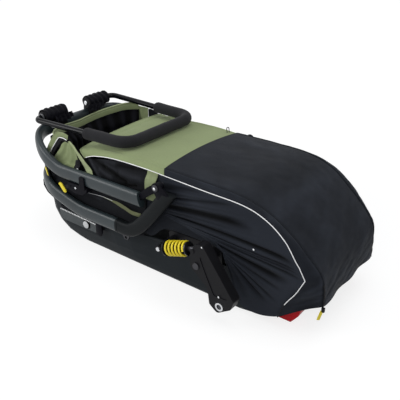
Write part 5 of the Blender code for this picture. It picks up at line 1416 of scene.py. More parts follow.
@dataclass(frozen=True)
class Flap:
    """Green corner of the roof, folded upright between a hoop's rail and the handlebar.

    Its lines are (along, up) on an upright plane; the foot leans out to the rail.
    """

    side: Side
    plane: float = -0.2080

    def on(self, point: Sequence[float], out: float = 0.0) -> Vector:
        """Lift a line's point to its place in space."""
        lean = 0.0125 * smooth_step((0.304 - point[1]) / 0.024)
        return self.side.place((point[0], self.plane - out - lean, point[1]))

    def panel(self, name: str, edges: tuple[tuple, tuple], finish: Finish, flat: tuple[float, float],
              out: float = 0.0, relief: Callable[[float, float], float] = lambda u, t: 0.0) -> bpy.types.Object:
        """Cloth between two edge lines.

        Args:
            name: The piece's name, without its side.
            edges: Its two edge lines.
            finish: Its finish.
            flat: Its cut size.
            out: How far it stands outside the flap's plane.
            relief: The folds' height at (along, across).

        Returns:
            The cloth, riding on the hoop.
        """
        first, second = (Line(tuple((x, 0, z) for x, z in edge)) for edge in edges)

        def place(u: float, t: float) -> Vector:
            point = first.share(u).lerp(second.share(u), t)
            return self.on((point.x, point.z), out + relief(u, t))

        cloth = patch(f"{self.side.label}_{name}", 60, 30, place, self.side.place((0, -1, 0)))
        modify(cloth, "SOLIDIFY", thickness=0.0016, offset=-1.0)
        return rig.sheet(carried(shade(cloth, 70), finish, "hoop", "green_cloth"), flat=flat, held="folded",
                        rests_on=["upper_hoop_tube"])

    def line(self, name: str, knots: tuple, radius: float, finish: Finish, out: float) -> None:
        """A round seam along the flap."""
        path = [self.on((p.x, p.z), out) for p in Line(tuple((x, 0, z) for x, z in knots)).points(60)]
        carried(swept(f"{self.side.label}_{name}", path, ring(radius, 10)), finish, "hoop", "green_cloth")

    def folds(self, u: float, t: float) -> float:
        """Soft folds that run down the flap's middle."""
        fade = math.sin(math.pi * t) ** 0.7
        wave = math.sin(2 * math.pi * (1.6 * t + 0.35 * u)) + 0.5 * math.sin(2 * math.pi * (3.4 * t - 0.7 * u) + 1.0)
        soft = 0.0012 * ripple((u * 5, t * 5, 0), (1, 1, 1), 3.0)
        return 0.0026 * fade * wave * math.sin(math.pi * (0.12 + 0.8 * u)) + soft

    def build(self) -> None:
        """Make the flap: as the photograph shows it, each side is folded in its own way."""
        if self.side is Side.LEFT:
            self.near()
        else:
            self.far()

    def far(self) -> None:
        """The right flap: a green upright, and net inside a white outline."""
        post = (((-0.4580, 0.2900), (-0.4575, 0.3300), (-0.4560, 0.3720)),
                ((-0.4030, 0.2900), (-0.4030, 0.3300), (-0.4020, 0.3730)))

        def swell(u: float, t: float) -> float:
            """Soft slant folds, flat at the sides."""
            return 0.0016 * math.sin(2 * math.pi * (1.5 * t + 0.4 * u)) * math.sin(math.pi * u)

        upright = self.panel("corner_cloth", post, Look.green_cloth, (0.083, 0.055), 0.0, swell)
        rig.replaces(upright, "right_front_gusset")
        seam = ((-0.4575, 0.2900), (-0.4570, 0.3300), (-0.4565, 0.3730))
        self.line("flap_seam", seam, 0.0020, Look.black_tape, -0.0010)
        outline = ((-0.4015, 0.3000), (-0.4012, 0.3381), (-0.4019, 0.3640), (-0.3990, 0.3700), (-0.3790, 0.3718),
                   (-0.3504, 0.3609), (-0.3250, 0.3480))
        self.line("flap_piping", outline, 0.0015, Look.piping, -0.0005)
        low = tuple((x + 0.004, 0.2950) for x, _ in outline)
        self.panel("flap_net", (outline, low), Look.net, (0.110, 0.060), 0.0006)

    def near(self) -> None:
        """The left flap: border, piping, middle, folded edge, tape and snap."""
        label = self.side.label
        piping = ((-0.4760, 0.3040), (-0.4724, 0.3115), (-0.4493, 0.3416), (-0.4235, 0.3716), (-0.4135, 0.3787),
                  (-0.3957, 0.3800), (-0.3800, 0.3770))
        outer = ((-0.4960, 0.3060), (-0.4896, 0.3198), (-0.4590, 0.3628), (-0.4318, 0.3896), (-0.4180, 0.3950),
                 (-0.3954, 0.3963), (-0.3743, 0.3917))
        welt = tuple((x + dx, z + dz) for (x, z), (dx, dz) in zip(piping, (
            (0.0150, -0.0060), (0.0115, -0.0060), (0.0105, -0.0075), (0.0080, -0.0100), (0.0065, -0.0105),
            (0.0030, -0.0105), (0.0020, -0.0090))))
        self.panel("flap_border", (outer, piping), Look.green_cloth, (0.150, 0.017), 0.0008,
                   lambda u, t: -0.0030 * (1 - math.sin(math.pi * (0.5 + 0.5 * t))) + 0.0008 * math.sin(9 * u))
        self.line("flap_binding", outer, 0.0014, Look.green_tape, 0.0000)
        self.line("flap_piping", piping, 0.0016, Look.piping, 0.0030)
        self.panel("flap_welt", (piping, welt), Look.black_tape, (0.140, 0.011), 0.0014)
        left = ((-0.4630, 0.2860), (-0.4560, 0.2992), (-0.4380, 0.3200), (-0.4196, 0.3407), (-0.4080, 0.3580),
                (-0.3900, 0.3690), (-0.3790, 0.3700))
        right = ((-0.4200, 0.2740), (-0.3860, 0.2740), (-0.3520, 0.2850), (-0.3400, 0.3150), (-0.3480, 0.3450),
                 (-0.3600, 0.3620), (-0.3700, 0.3690))
        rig.replaces(self.panel("corner_cloth", (left, right), Look.green_cloth, (0.100, 0.075), 0.0, self.folds),
                    f"{label}_front_gusset")
        fold_left = ((-0.3730, 0.3740), (-0.3668, 0.3692), (-0.3496, 0.3520), (-0.3260, 0.3225), (-0.3020, 0.2980),
                     (-0.2560, 0.2730))
        fold_right = ((-0.3660, 0.3770), (-0.3540, 0.3700), (-0.3380, 0.3545), (-0.3100, 0.3290), (-0.2780, 0.3030),
                      (-0.2400, 0.2740))
        # The folded edge takes the paler green: painted highlight.
        self.panel("flap_fold", (fold_left, fold_right), Look.green_edge, (0.155, 0.022), 0.0022,
                   lambda u, t: 0.0030 * math.sin(math.pi * t) + 0.0005 * math.sin(26 * u + 3 * t))
        self.panel("flap_tape", (((-0.3509, 0.2850), (-0.3485, 0.3040), (-0.3450, 0.3170)),
                                 ((-0.3285, 0.2850), (-0.3262, 0.3040), (-0.3254, 0.3210))), Look.black_tape,
                   (0.034, 0.023), 0.0030, lambda u, t: 0.0014 * math.sin(math.pi * t))
        snap = stud(f"{label}_window_snap", self.on((-0.3290, 0.2900), 0.0052), self.side.place((0, -1, 0)), 0.0062,
                    0.0042)
        carried(snap, Look.steel, "hoop", "steel")


@dataclass(frozen=True)
class FrontCloth:
    """Soft pieces between the two hoops: net windows, green corners, hem band and lining."""

    cabin: Cabin
    hoops: Hoops

    folds: tuple = ((-0.276, 0.335, -0.225, 0.319, 0.008, -0.9), (-0.225, 0.319, -0.134, 0.295, 0.010, -1.0),
                    (-0.168, 0.340, -0.100, 0.349, 0.007, -0.8), (-0.100, 0.349, -0.039, 0.354, 0.006, -0.6),
                    (-0.246, 0.344, -0.172, 0.345, 0.007, 0.5), (-0.243, 0.305, -0.192, 0.294, 0.009, 0.8),
                    (-0.151, 0.320, -0.073, 0.321, 0.012, 0.7), (-0.297, 0.331, -0.246, 0.279, 0.008, 1.0),
                    (-0.220, 0.332, -0.170, 0.322, 0.005, 0.5), (-0.360, 0.330, -0.330, 0.280, 0.010, -0.8),
                    (-0.155, 0.277, -0.089, 0.294, 0.005, -0.9), (-0.200, 0.235, -0.090, 0.245, 0.010, -0.5),
                    (-0.420, 0.240, -0.300, 0.232, 0.010, -0.6), (-0.360, 0.215, -0.240, 0.210, 0.008, 0.5))

    def bend_depth(self, reach: float, bend: float, thick: float) -> float:
        """How far the inside of a bend has left its straight line."""
        if reach <= 0:
            return 0.0
        radius = bend - self.hoops.wide / 2 - 0.0006 - thick
        return radius - math.sqrt(max(0.0, radius ** 2 - min(reach, radius) ** 2))

    def inside_bar(self, y: float, front_x: float, bend: float, thick: float) -> float:
        """Where cloth lies against the inside of a hoop's front bar."""
        return front_x + self.hoops.wide / 2 + 0.0006 + thick + self.bend_depth(
            abs(y) - self.hoops.half + bend, bend, thick)

    def inside_rail(self, x: float, front_x: float, bend: float) -> float:
        """Where cloth lies against the inside of a hoop's left rail."""
        return -self.hoops.half + self.hoops.wide / 2 + 0.0006 + self.bend_depth(front_x + bend - x, bend, 0.0)

    def band_line(self) -> Line:
        """Middle of the green band: low on the front bar, and up to a flap at each side."""
        return Line(((-0.4560, -0.2010, 0.3600), (-0.4900, -0.1700, 0.3610), (-0.5190, -0.1220, 0.3530),
                     (-0.5440, -0.0800, 0.3430), (-0.5560, -0.0400, 0.3370), (-0.5590, 0, 0.3350),
                     (-0.5560, 0.0400, 0.3400), (-0.5440, 0.0800, 0.3490), (-0.5200, 0.1220, 0.3600),
                     (-0.4900, 0.1700, 0.3690), (-0.4480, 0.2045, 0.3715)))

    def window_head(self, x: float) -> tuple[float, float]:
        """Top of the side window: behind the flap in front, under the roof's edge behind."""
        rise = smooth_step((x + 0.400) / 0.090)
        roof = self.cabin.green_edge().at(min(4.0, max(0.0, 4 * (x + 0.309) / 0.335)))
        low_z = 0.296 + 0.010 * smooth_step((x + 0.50) / 0.1)
        high_y = -0.1985 if x < -0.33 else roof.y + 0.0045
        return -0.2010 * (1 - rise) + high_y * rise, low_z * (1 - rise) + (roof.z - 0.0030) * rise

    def side_window(self, side: Side) -> None:
        """Net cloth in slanting slack folds while the hoops are folded."""
        h = self.hoops
        start, end = h.front_x + 0.048, self.cabin.boundary_x - 0.052

        def slack(u: float, t: float) -> float:
            x = start + (end - start) * u
            bottom, top = h.loop_z(x) - 0.012, self.window_head(x)[1]
            fine = 0.16 * ripple((u * 15, t * 9, 0), (1, 1, 1), 3.3) + 0.22 * ripple((u * 5, t * 4, 0), (1, 1, 1), 9.1)
            return strokes(x, bottom + (top - bottom) * t, self.folds) + fine

        def place(u: float, t: float) -> Vector:
            x = start + (end - start) * u
            low_y, bottom = self.inside_rail(x, h.front_x + h.step_in, h.loop_bend), h.loop_z(x) - 0.012
            high_y, top = self.window_head(x)
            high_y = max(high_y, low_y)
            tall = (top - bottom) / 0.19
            hang = max(0.0, math.sin(math.pi * t)) ** 0.8
            out = -0.0058 * hang * tall * slack(u, t)
            point = Vector((x, low_y + (high_y - low_y) * t + out + 0.0035 * hang, bottom + (top - bottom) * t))
            return side.place(point)

        window = patch(f"{side.label}_side_window_net", 170, 80, place, side.place((0, -1, 0)))
        # Fold heights for painted shade in the folds and painted highlight on their crests.
        relieve(window, 170, 80, lambda u, t: -0.12 + 0.95 * slack(u, t))
        modify(window, "SOLIDIFY", thickness=0.0012, offset=-1.0)
        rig.sheet(stretched(shade(window, 70), Look.net, FOLD, (0, 0, 0.165), (0, 0, 0.262), "black_cloth",
                           f"{side.label}_side_window"), flat=(0.49, 0.21), held="gathered",
                 rests_on=["upper_hoop_tube", "lower_loop_tube"])

    def front_band(self) -> None:
        """Green band with its folded top edge and welt in paler green, a painted highlight, and a dark seam."""
        line = self.band_line()

        def place(u: float, t: float) -> Vector:
            point = line.share(u)
            ahead = line.share(min(1.0, u + 0.004)) - line.share(max(0.0, u - 0.004))
            inward = Vector((ahead.y, -ahead.x, 0)).normalized()
            fold = 0.0014 * math.sin(math.pi * t) + 0.0006 * ripple((u * 14, t, 0), (1, 1, 1), 2.0)
            lean = 0.0020 * (1 - t) * math.sin(math.pi * u)
            return point + inward * (fold + lean) + Vector((0, 0, 0.0275 * (t - 0.5)))

        band = patch("front_band_cloth", 120, 14, place, Vector((1, 0, 0)))
        modify(band, "SOLIDIFY", thickness=0.0022, offset=0.0)
        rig.sheet(carried(shade(band, 70), Look.green_cloth, "hoop", "green_cloth", "front_hem_band"),
                 flat=(0.47, 0.029), held="stretched", rests_on=["upper_hoop_tube"])
        # The roll and the welt take the paler green: painted highlight.
        for name, t, radius, finish in (("front_band_roll", 0.98, 0.0030, Look.green_edge),
                                        ("front_band_welt", 0.72, 0.0011, Look.green_edge),
                                        ("front_band_seam", 0.04, 0.0016, Look.black_tape)):
            rim = [place(i / 120, t) + Vector((0.0006, 0, 0)) for i in range(121)]
            carried(swept(name, rim, ring(radius, 10)), finish, "hoop", "green_cloth")

    def front_window(self) -> None:
        """Front net between the loop's bar and the hem band."""
        h = self.hoops
        foot = h.loop_z(h.front_x + h.step_in) - 0.012

        def place(u: float, t: float) -> Vector:
            share = 2 * u - 1
            y = share * (0.162 - 0.022 * t)
            foot_x = self.inside_bar(y, h.front_x + h.step_in, h.loop_bend, 0.0032)
            head_x = self.inside_bar(y, h.front_x, h.hoop_bend, 0.003) + 0.002
            pleat = abs(0.006 * math.sin(math.pi * 5 * share) * math.sin(math.pi * t))
            pleat += 0.001 * math.sin(math.pi * t) * (1 + ripple((u * 9, t * 4, 0), (1, 1, 1), 6.0))
            x = foot_x + (head_x - foot_x) * max(0.0, (t - 0.35) / 0.65) + pleat
            return Vector((x, y, foot + (0.3190 + 0.012 * smooth_step((abs(share) - 0.3) / 0.5) - foot) * t))

        window = patch("front_window_net", 100, 40, place, Vector((-1, 0, 0)))
        modify(window, "SOLIDIFY", thickness=0.0012, offset=-1.0)
        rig.sheet(stretched(shade(window, 70), Look.net, FOLD, (0, 0, 0.215), (0, 0, 0.300), "black_cloth",
                           "front_window"), flat=(0.32, 0.12), held="gathered", rests_on=["lower_loop_tube"])

    def lining(self) -> None:
        """Black lining that hangs from the band in upright folds, and gathers as the hoop folds down; its colour is
        darkened by painted shade.
        """
        line = self.band_line()

        def pleats(u: float, t: float) -> float:
            pleat = math.sin(2 * math.pi * (11.5 * u + 0.25 * t + 0.12 * math.sin(13 * u)))
            return math.copysign(abs(pleat) ** 0.7, pleat) + 0.5 * ripple((u * 16, t * 3, 0), (1, 1, 1), 8.0)

        def place(u: float, t: float) -> Vector:
            share = 0.01 + 0.99 * u
            point = line.share(share)
            ahead = line.share(min(1.0, share + 0.004)) - line.share(max(0.0, share - 0.004))
            inward = Vector((ahead.y, -ahead.x, 0)).normalized()
            drop = (1 - t) * (point.z - 0.0135 - 0.205)
            pleat = pleats(u, t)
            depth = 0.0036 + 0.020 * smooth_step(3.2 * (1 - t)) + 0.0050 * pleat * min(1.0, 3 * (1 - t))
            return point + inward * depth + Vector((0, 0, -0.0125 - drop))

        cloth = patch("front_lining_cloth", 160, 40, place, Vector((1, 0, 0)))
        # Pleat heights for painted shade in the pleats' hollows and painted highlight on their ridges.
        relieve(cloth, 160, 40, lambda u, t: 0.8 * pleats(u, t) - 0.3)
        modify(cloth, "SOLIDIFY", thickness=0.0014, offset=-1.0)
        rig.sheet(stretched(shade(cloth, 70), Look.lining, FOLD, (0, 0, 0.210), (0, 0, 0.300),
                           "black_cloth"), flat=(0.50, 0.15), held="hung", rests_on=["front_band_cloth"])

    def webbing(self, side: Side) -> None:
        """Green webbing that folds over the hoop's knuckle and ties the roof's corner down."""
        line = Line(((0, -0.2216, 0.276), (0, -0.2218, 0.296), (0, -0.2218, 0.322), (0, -0.2185, 0.338),
                     (0, -0.2110, 0.350), (0, -0.2085, 0.3625)))

        def place(u: float, t: float) -> Vector:
            point = line.share(t)
            x = -0.033 + 0.040 * u - 0.004 * math.sin(3 * t)
            lift = 0.0014 * math.sin(2 * math.pi * (u + 0.2 * t)) * math.sin(math.pi * t)
            return side.place((x, point.y + abs(lift), point.z))

        tape = patch(f"{side.label}_corner_tape", 24, 60, place, side.place((0, -1, 0)))
        modify(tape, "SOLIDIFY", thickness=0.0015, offset=-1.0)
        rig.sheet(stretched(shade(tape, 70), Look.green_tape, FOLD, (0.010, 0, 0.37), (-0.080, 0, 0.37),
                           "green_cloth", f"{side.label}_corner_webbing"),
                 flat=(0.040, 0.092), held="hung", rests_on=[f"{side.label}_knuckle_arm"])

    def stripe(self, side: Side) -> None:
        """Olive reinforcing tape on the net between the folded hoops, wider to the rear."""
        line = Line(((-0.2130, -0.2228, 0.2275), (-0.1740, -0.2230, 0.2255), (-0.1460, -0.2230, 0.2222),
                     (-0.1200, -0.2230, 0.2170), (-0.0930, -0.2230, 0.2105), (-0.0560, -0.2225, 0.2120)))

        def place(u: float, t: float) -> Vector:
            point = line.share(u)
            wide = 0.0010 + 0.0120 * smooth_step(u * 2.2)
            return side.place((point.x, point.y - 0.0012 * math.sin(math.pi * t), point.z + wide * (t - 0.5)))

        tape = patch(f"{side.label}_window_tape", 60, 10, place, side.place((0, -1, 0)))
        modify(tape, "SOLIDIFY", thickness=0.0012, offset=1.0)
        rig.sheet(stretched(shade(tape, 70), Look.olive_tape, FOLD, (0, 0, 0.165), (0, 0, 0.262),
                           "green_cloth"), flat=(0.160, 0.012), held="stretched",
                 rests_on=[f"{side.label}_side_window_net"])
        run = Line(((-0.3060, -0.2240, 0.2186), (-0.2526, -0.2244, 0.2254), (-0.2130, -0.2244, 0.2282),
                    (-0.1740, -0.2250, 0.2270)))
        welt = swept(f"{side.label}_window_tape_seam", [side.place(p) for p in run.points(60)], ring(0.0008, 8))
        stretched(welt, Look.collar_light, FOLD, (0, 0, 0.165), (0, 0, 0.262), "green_cloth")

    def build(self) -> None:
        """Make every soft piece of the front."""
        self.front_band()
        self.front_window()
        self.lining()
        for side in Side:
            self.side_window(side)
            Flap(side).build()
            self.webbing(side)
            self.stripe(side)


@dataclass(frozen=True)
class FloorMat:
    """Padded mat on the tub's floor, swollen by its foam and quilted in three strips."""

    most: float = 0.006
    seams: tuple = (-0.055, 0.055)

    def build(self) -> None:
        """Make the mat."""
        low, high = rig.box("floor_mat")
        deselect()
        centre = (low + high) / 2
        bpy.ops.mesh.primitive_cube_add(size=1.0, location=(centre.x, centre.y, low.z + 0.011))
        mat = named("floor_mat_pad")
        mat.scale = (high.x - low.x - 0.012, high.y - low.y - 0.012, 0.016)
        settle(mat)
        take(mat)
        bpy.ops.object.mode_set(mode="EDIT")
        bpy.ops.mesh.select_mode(type="EDGE")
        bpy.ops.mesh.select_all(action="DESELECT")
        bm = bmesh.from_edit_mesh(mat.data)
        for edge in bm.edges:
            edge.select = abs(edge.verts[0].co.z - edge.verts[1].co.z) > 0.01
        bmesh.update_edit_mesh(mat.data)
        bpy.ops.mesh.bevel(offset=0.055, segments=8)
        bpy.ops.object.mode_set(mode="OBJECT")
        modify(mat, "REMESH", mode="VOXEL", voxel_size=0.008)
        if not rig.quick():
            self.swell(mat)
        modify(mat, "SUBSURF", levels=1, render_levels=1)
        for vertex in mat.data.vertices:
            co = vertex.co
            if co.z > low.z + 0.012:
                for seam in self.seams:
                    co.z -= 0.0045 * bell(co.y - seam, 0.006)
            co.z = min(max(co.z, low.z), high.z - 0.0004)
        carried(shade(mat, 80), Look.mat, "chassis", "grey_mat", "floor_mat")
        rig.padded(mat, fill=0.6)

    def swell(self, mat: bpy.types.Object) -> None:
        """Blow the mat up a little with a cloth simulation, no further than its cap."""
        rest = [v.co.copy() for v in mat.data.vertices]
        take(mat)
        cloth = mat.modifiers.new("cloth", "CLOTH")
        cloth.settings.use_pressure = True
        cloth.settings.uniform_pressure_force = 3.0
        cloth.settings.effector_weights.gravity = 0.0
        cloth.settings.quality = 4
        cloth.point_cache.frame_end = 14
        scene = bpy.context.scene
        for step in range(1, 15):
            scene.frame_set(step)
        bpy.ops.object.modifier_apply(modifier="cloth")
        scene.frame_set(1)
        for vertex, start in zip(mat.data.vertices, rest):
            move = vertex.co - start
            if move.length > self.most:
                vertex.co = start + move.normalized() * self.most


@dataclass(frozen=True)
class Suspension:
    """Spring coils and the small fittings on the arms."""

    front: tuple = (0.059, -0.269, 0.163)
    rear: tuple = (0.190, -0.269, 0.208)
    start: float = 0.031
    end: float = 0.110
    radius: float = 0.0205
    wire: float = 0.0031
    turns: float = 5.5

    def build(self) -> None:
        """Make both coils, their strut sleeves and the rivets."""
        front, rear = Vector(self.front), Vector(self.rear)
        along = (rear - front).normalized()
        side_way = Vector((0, 1, 0))
        up = along.cross(side_way)
        low, high = self.start + 0.0003 + self.wire, self.end - 0.0003 - self.wire
        count = int(self.turns * 28)
        for side in Side:
            path = []
            for i in range(count + 1):
                angle = 2 * math.pi * i / 28
                reach = low + (high - low) * i / count
                path.append(side.place(front + along * reach + (side_way * math.cos(angle) + up * math.sin(angle))
                                       * self.radius))
            coil = swept(f"{side.label}_spring_coil", path, ring(self.wire, 14))
            carried(coil, Look.spring, "chassis", "yellow", f"{side.label}_spring")
            run = [side.place(front + along * (self.start + 0.0008 + 0.0652 * i / 8)) for i in range(9)]
            carried(swept(f"{side.label}_strut_sleeve", run, ring(0.0150, 28)), Look.rubber, "chassis", "black_plastic")
            seat = front + along * self.start
            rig.squash(coil, f"{side.label}_arm_swing", axis=along if side is Side.LEFT else (along.x, 0, along.z),
                      anchor=side.place(seat), keep=0.88)
            self.rivet(f"{side.label}_arm_rivet", side, (0.2815, -0.2870, 0.0955), 0.0030, f"{side.label}_arm")
            self.rivet(f"{side.label}_arm_upper_rivet", side, (0.2235, -0.2870, 0.2330), 0.0026, f"{side.label}_arm")

    def rivet(self, name: str, side: Side, place: Sequence[float], radius: float, body: str) -> None:
        """A domed steel rivet that faces outward."""
        carried(stud(name, side.place(place), side.place((0, -1, 0)), radius, radius * 0.5), Look.steel, body, "steel")


def stud(name: str, place: Vector, out: Vector, radius: float, height: float) -> bpy.types.Object:
    """A domed head on a flat rim.

    Args:
        name: The piece's name.
        place: Centre of its foot.
        out: The way it faces.
        radius: The rim's radius.
        height: From the foot to the top.

    Returns:
        The stud, in place.
    """
    deselect()
    bpy.ops.mesh.primitive_cylinder_add(vertices=20, radius=radius, depth=height * 0.4,
                                        location=(0, 0, height * 0.2))
    obj = named(name)
    bpy.ops.object.mode_set(mode="EDIT")
    bpy.ops.mesh.select_mode(type="FACE")
    bpy.ops.mesh.select_all(action="DESELECT")
    bm = bmesh.from_edit_mesh(obj.data)
    for face in bm.faces:
        face.select = face.normal.z > 0.9
    bmesh.update_edit_mesh(obj.data)
    bpy.ops.mesh.inset(thickness=radius * 0.18)
    bpy.ops.mesh.extrude_region_move(TRANSFORM_OT_translate={"value": (0, 0, height * 0.4)})
    bpy.ops.transform.resize(value=(0.82, 0.82, 1.0))
    bpy.ops.mesh.extrude_region_move(TRANSFORM_OT_translate={"value": (0, 0, height * 0.2)})
    bpy.ops.transform.resize(value=(0.5, 0.5, 1.0))
    bpy.ops.object.mode_set(mode="OBJECT")
    obj.matrix_world = Matrix.Translation(place) @ out.to_track_quat("Z", "Y").to_matrix().to_4x4()
    bpy.context.view_layer.update()
    return shade(settle(obj), 40)


@dataclass(frozen=True)
class Fittings:
    """Small things that show: snaps, screws, the roof's cord loop and the tail zip."""

    cabin: Cabin

    def build(self) -> None:
        """Make the fittings."""
        for side in Side:
            out = side.place((0, -1, 0))
            carried(stud(f"{side.label}_latch_screw", side.place((-0.314, -0.2500, 0.2395)), out, 0.0036, 0.0022),
                    Look.steel, "hoop", "steel")
            carried(stud(f"{side.label}_panel_snap", side.place((0.3385, -0.2085, 0.2310)), out, 0.0032, 0.0020),
                    Look.steel, "chassis", "steel")
        loop = fillet([(-0.010, 0.163, 0.375), (-0.013, 0.163, 0.392), (-0.009, 0.170, 0.3935), (-0.006, 0.170, 0.375)],
                      [0, 0.004, 0.004, 0], 8)
        carried(swept("roof_cord_loop", even(loop, 0.001), ring(0.0013, 10)), Look.black_tape, "chassis", "black_cloth")
        self.zip()
        self.zip_pull()
        self.teeth()
        for side in Side:
            self.lever(side)

    def lever(self, side: Side) -> None:
        """Yellow release tab that hangs in front of the latch."""
        outline = [(-0.4020, 0.2310), (-0.3950, 0.2365), (-0.3870, 0.2360), (-0.3690, 0.2160), (-0.3660, 0.2090),
                   (-0.3720, 0.2040), (-0.3800, 0.2050)]
        tab = plate(f"{side.label}_latch_tab", side, outline, -0.2470, -0.2428, 0.0014)
        carried(tab, Look.pull, f"{side.label}_latch", "yellow_plastic")
        dress(frame["nodes"][f"{side.label}_latch_lever"], Look.plastic)

    def teeth(self) -> None:
        """Painted highlights on the drawbar socket's rib crests as white blocks, painted shade as dark plates in the
        gap above them and in the button's recess, the button's cap and the end block.
        """
        # White blocks along the ribs' crests: painted highlights.
        highlight_block = block("drawbar_crest", (0.0040, 0.0030, 0.0042), 0.0004)
        places = [Matrix.Translation((-0.4270 + 0.0072 * i, -0.2274, 0.1208 - 0.0062 * i / 23)) for i in range(24)]
        carried(repeated("drawbar_crests", highlight_block, places), Look.piping, "chassis", "steel")
        # Dark plate in the gap under the loop: painted shade.
        slot = [(-0.4330, 0.1238), (-0.2580, 0.1238), (-0.2580, 0.1300), (-0.4330, 0.1320)]
        carried(plate("drawbar_slot", Side.LEFT, slot, -0.2240, -0.2080), Look.rubber, "chassis", "black_plastic")
        end = [(-0.2585, 0.0755), (-0.2360, 0.0775), (-0.2300, 0.0900), (-0.2320, 0.1180), (-0.2400, 0.1215),
               (-0.2585, 0.1215)]
        carried(plate("drawbar_end_block", Side.LEFT, end, -0.2290, -0.2236, 0.0012), Look.rubber, "chassis",
                "black_plastic")
        # Dark disc round the button: painted shade in its recess.
        recess_shade_outline = arc((-0.3048, 0.0990), 0.0165, 0, 350, 35)
        carried(plate("drawbar_recess", Side.LEFT, recess_shade_outline, -0.2250, -0.2240, 0.0002), Look.rubber, "chassis",
                "black_plastic")
        cap = stud("drawbar_button_cap", Vector((-0.3048, -0.2302, 0.0990)), Vector((0, -1, 0)), 0.0128, 0.0024)
        carried(cap, Look.collar_light, "drawbar_release", "steel")

    def zip_pull(self) -> None:
        """Yellow cord pull below the tail's slider."""
        line = Line(((0.5290, -0.1565, 0.0850), (0.5265, -0.1568, 0.0740), (0.5235, -0.1572, 0.0620),
                     (0.5215, -0.1575, 0.0520)))
        pull = swept("tail_zip_tab", line.points(24), oval(0.0095, 0.0026, 16), Vector((0.75, -0.65, 0.0)))
        carried(pull, Look.pull, "chassis", "yellow_plastic", "rear_zip_pull")

    def zip(self) -> None:
        """Tape and teeth of the zip down the left of the tail."""
        cover = RearCover(self.cabin)
        line = [cover.surface(6.6 + 2.35 * i / 120, -TOP_SHARE, 0.0014)[0] for i in range(121)]
        carried(swept("tail_zip_tape", line, oval(0.0012, 0.0075, 12), Vector((0, 1, 0))), Look.black_tape, "chassis",
                "black_cloth")
        tooth = block("tail_zip_tooth", (0.0011, 0.0026, 0.0012), 0.0003)
        spots = even([p + Vector((0.0008, -0.0006, 0)) for p in line], 0.0022)
        places = [facing(a, b - a, Vector((1, -0.6, 0.2))) for a, b in zip(spots, spots[1:])]
        carried(repeated("tail_zip_teeth", tooth, places), Look.plastic, "chassis", "black_plastic")


CARRIED_NODES: dict[str, Finish] = {
    "tub": Look.tub, "rear_bow": Look.tube, "drawbar_socket": Look.socket, "drawbar_catch": Look.plastic,
    "drawbar_button": Look.steel, "rear_zip_slider": Look.plastic,
    "strap_tab": Look.pull, "fold_strap": Look.black_tape,
}
SIDED_NODES: dict[str, Finish] = {
    "arm_bolt": Look.dark_steel, "arm_bracket": Look.plastic, "axle_bush": Look.steel,
    "handle_button": Look.steel, "handle_hub": Look.plastic,
    "latch_housing": Look.rubber, "pivot_bolt": Look.dark_steel, "reflector": Look.lens,
    "strut_body": Look.plastic, "strut_bolt": Look.steel, "strut_rod": Look.dark_steel, "swing_arm": Look.plastic,
    "tie_ring": Look.dark_steel,
}


def dress_frame() -> None:
    """Give every hard CAD node that stays its finish."""
    finishes = dict(CARRIED_NODES)
    for side in Side:
        finishes.update({f"{side.label}_{name}": finish for name, finish in SIDED_NODES.items()})
    for name, finish in finishes.items():
        dress(frame["nodes"][name], finish)
        LOG.info("%s is finished in %s", name, finish.name)


# Studio
def seen_rays(tree: bpy.types.NodeTree) -> bpy.types.NodeSocket:
    """1 on a ray that shows the backdrop, and 0 on one that lights the object."""
    light = tree.nodes.new("ShaderNodeLightPath")
    seen = light.outputs["Is Camera Ray"]
    for kind in ("Is Glossy Ray", "Is Transmission Ray"):
        most = tree.nodes.new("ShaderNodeMath")
        most.operation = "MAXIMUM"
        tree.links.new(seen, most.inputs[0])
        tree.links.new(light.outputs[kind], most.inputs[1])
        seen = most.outputs[0]
    return seen


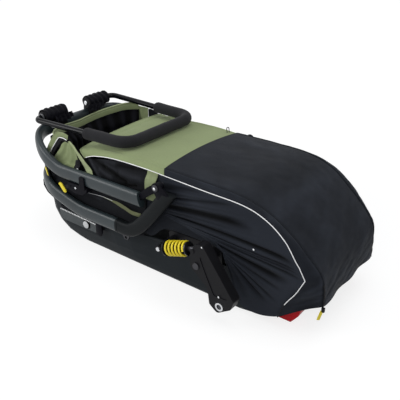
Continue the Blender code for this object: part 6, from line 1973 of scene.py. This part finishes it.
@dataclass(frozen=True)
class Studio:
    """Pale floor, soft light and the photograph's camera."""

    azimuth: float = 37.248
    elevation: float = 26.867
    distance: float = 1.92
    lens: float = 52.835
    target: tuple = (0.0, 0.0, 0.19232)

    def camera(self) -> None:
        """Stand the camera where the photograph was taken."""
        a, e = math.radians(self.azimuth), math.radians(self.elevation)
        back = Vector((math.sin(a) * math.cos(e), -math.cos(a) * math.cos(e), math.sin(e)))
        data = bpy.data.cameras.new("camera")
        data.lens, data.sensor_width, data.clip_end = self.lens, 36.0, 50.0
        camera = bpy.data.objects.new("camera", data)
        bpy.context.scene.collection.objects.link(camera)
        camera.location = Vector(self.target) + back * self.distance
        camera.rotation_euler = (-back).to_track_quat("-Z", "Y").to_euler()
        bpy.context.scene.camera = camera

    def floor(self) -> None:
        """A pale floor that reads as white paper with a soft shadow."""
        deselect()
        bpy.ops.mesh.primitive_plane_add(size=16.0, location=(0, 0, 0))
        floor = named("studio_floor")
        graph = Graph("pale_floor")
        graph.constant(Base_Color=(0.55, 0.55, 0.55, 1.0), Roughness=0.9, Specular_IOR_Level=0.0)
        reach = graph.add("ShaderNodeVectorMath", {0: graph.coords.outputs["Object"]}, operation="LENGTH")
        level = graph.ranged(reach.outputs["Value"], 0.8, 2.6, 0.785, 0.885)
        glow = graph.add("ShaderNodeEmission", {"Color": (1, 1, 1, 1), "Strength": level})
        dim = graph.add("ShaderNodeBsdfDiffuse", {"Color": (0.30, 0.30, 0.30, 1.0)})
        both = graph.add("ShaderNodeAddShader", {0: glow.outputs[0], 1: dim.outputs[0]})
        seen = seen_rays(graph.tree)
        mix = graph.add("ShaderNodeMixShader", {0: seen, 1: graph.shader.outputs[0], 2: both.outputs[0]})
        graph.tree.links.new(mix.outputs[0], graph.tree.nodes["Material Output"].inputs["Surface"])
        floor.data.materials.append(graph.material)
        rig.stage(floor)

    def world(self) -> None:
        """White backdrop to the camera, softer light on the object."""
        world = bpy.data.worlds.new("studio")
        bpy.context.scene.world = world
        world.use_nodes = True
        tree = world.node_tree
        tree.nodes.clear()
        soft, white = (tree.nodes.new("ShaderNodeBackground") for _ in range(2))
        soft.inputs["Color"].default_value, soft.inputs["Strength"].default_value = (0.95, 0.97, 1.0, 1.0), 0.44
        white.inputs["Color"].default_value = (1, 1, 1, 1)
        mix, out = tree.nodes.new("ShaderNodeMixShader"), tree.nodes.new("ShaderNodeOutputWorld")
        for socket, source in enumerate((seen_rays(tree), soft.outputs[0], white.outputs[0])):
            tree.links.new(source, mix.inputs[socket])
        tree.links.new(mix.outputs[0], out.inputs["Surface"])

    def lamp(self, name: str, place: Sequence[float], aim: Sequence[float], size: float, power: float) -> None:
        """A soft square lamp."""
        data = bpy.data.lights.new(name, "AREA")
        data.shape, data.size, data.energy = "SQUARE", size, power
        lamp = bpy.data.objects.new(name, data)
        bpy.context.scene.collection.objects.link(lamp)
        lamp.location = place
        lamp.rotation_euler = (Vector(aim) - Vector(place)).to_track_quat("-Z", "Y").to_euler()

    def build(self) -> None:
        """Set the studio up."""
        self.camera()
        self.floor()
        self.world()
        self.lamp("overhead", (0.5, 0.3, 2.6), (0.15, 0, 0.2), 2.2, 24)
        self.lamp("front_left", (-1.6, -1.7, 1.2), (0, 0, 0.2), 1.2, 21)
        self.lamp("camera_side", (1.0, -2.1, 1.4), (0, 0, 0.2), 1.2, 10)
        bpy.context.scene.view_settings.view_transform = "Standard"


def main() -> None:
    """Build every piece in order, then the studio."""
    dress_frame()
    hoops, cabin = Hoops(), Cabin()
    hoops.build()
    Handlebar().build()
    RearCover(cabin).build()
    GreenRoof(cabin).build()
    SidePanel(cabin).build()
    Skirt().build()
    FrontCloth(cabin, hoops).build()
    FloorMat().build()
    Suspension().build()
    Fittings(cabin).build()
    Studio().build()
    low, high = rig.bounds()
    with open(SIZE_FILE, "w") as out:
        json.dump({"cad": [list(CAD_BOX[0]), list(CAD_BOX[1])], "visual": [list(low), list(high)]}, out)


if __name__ == "__main__":
    main()
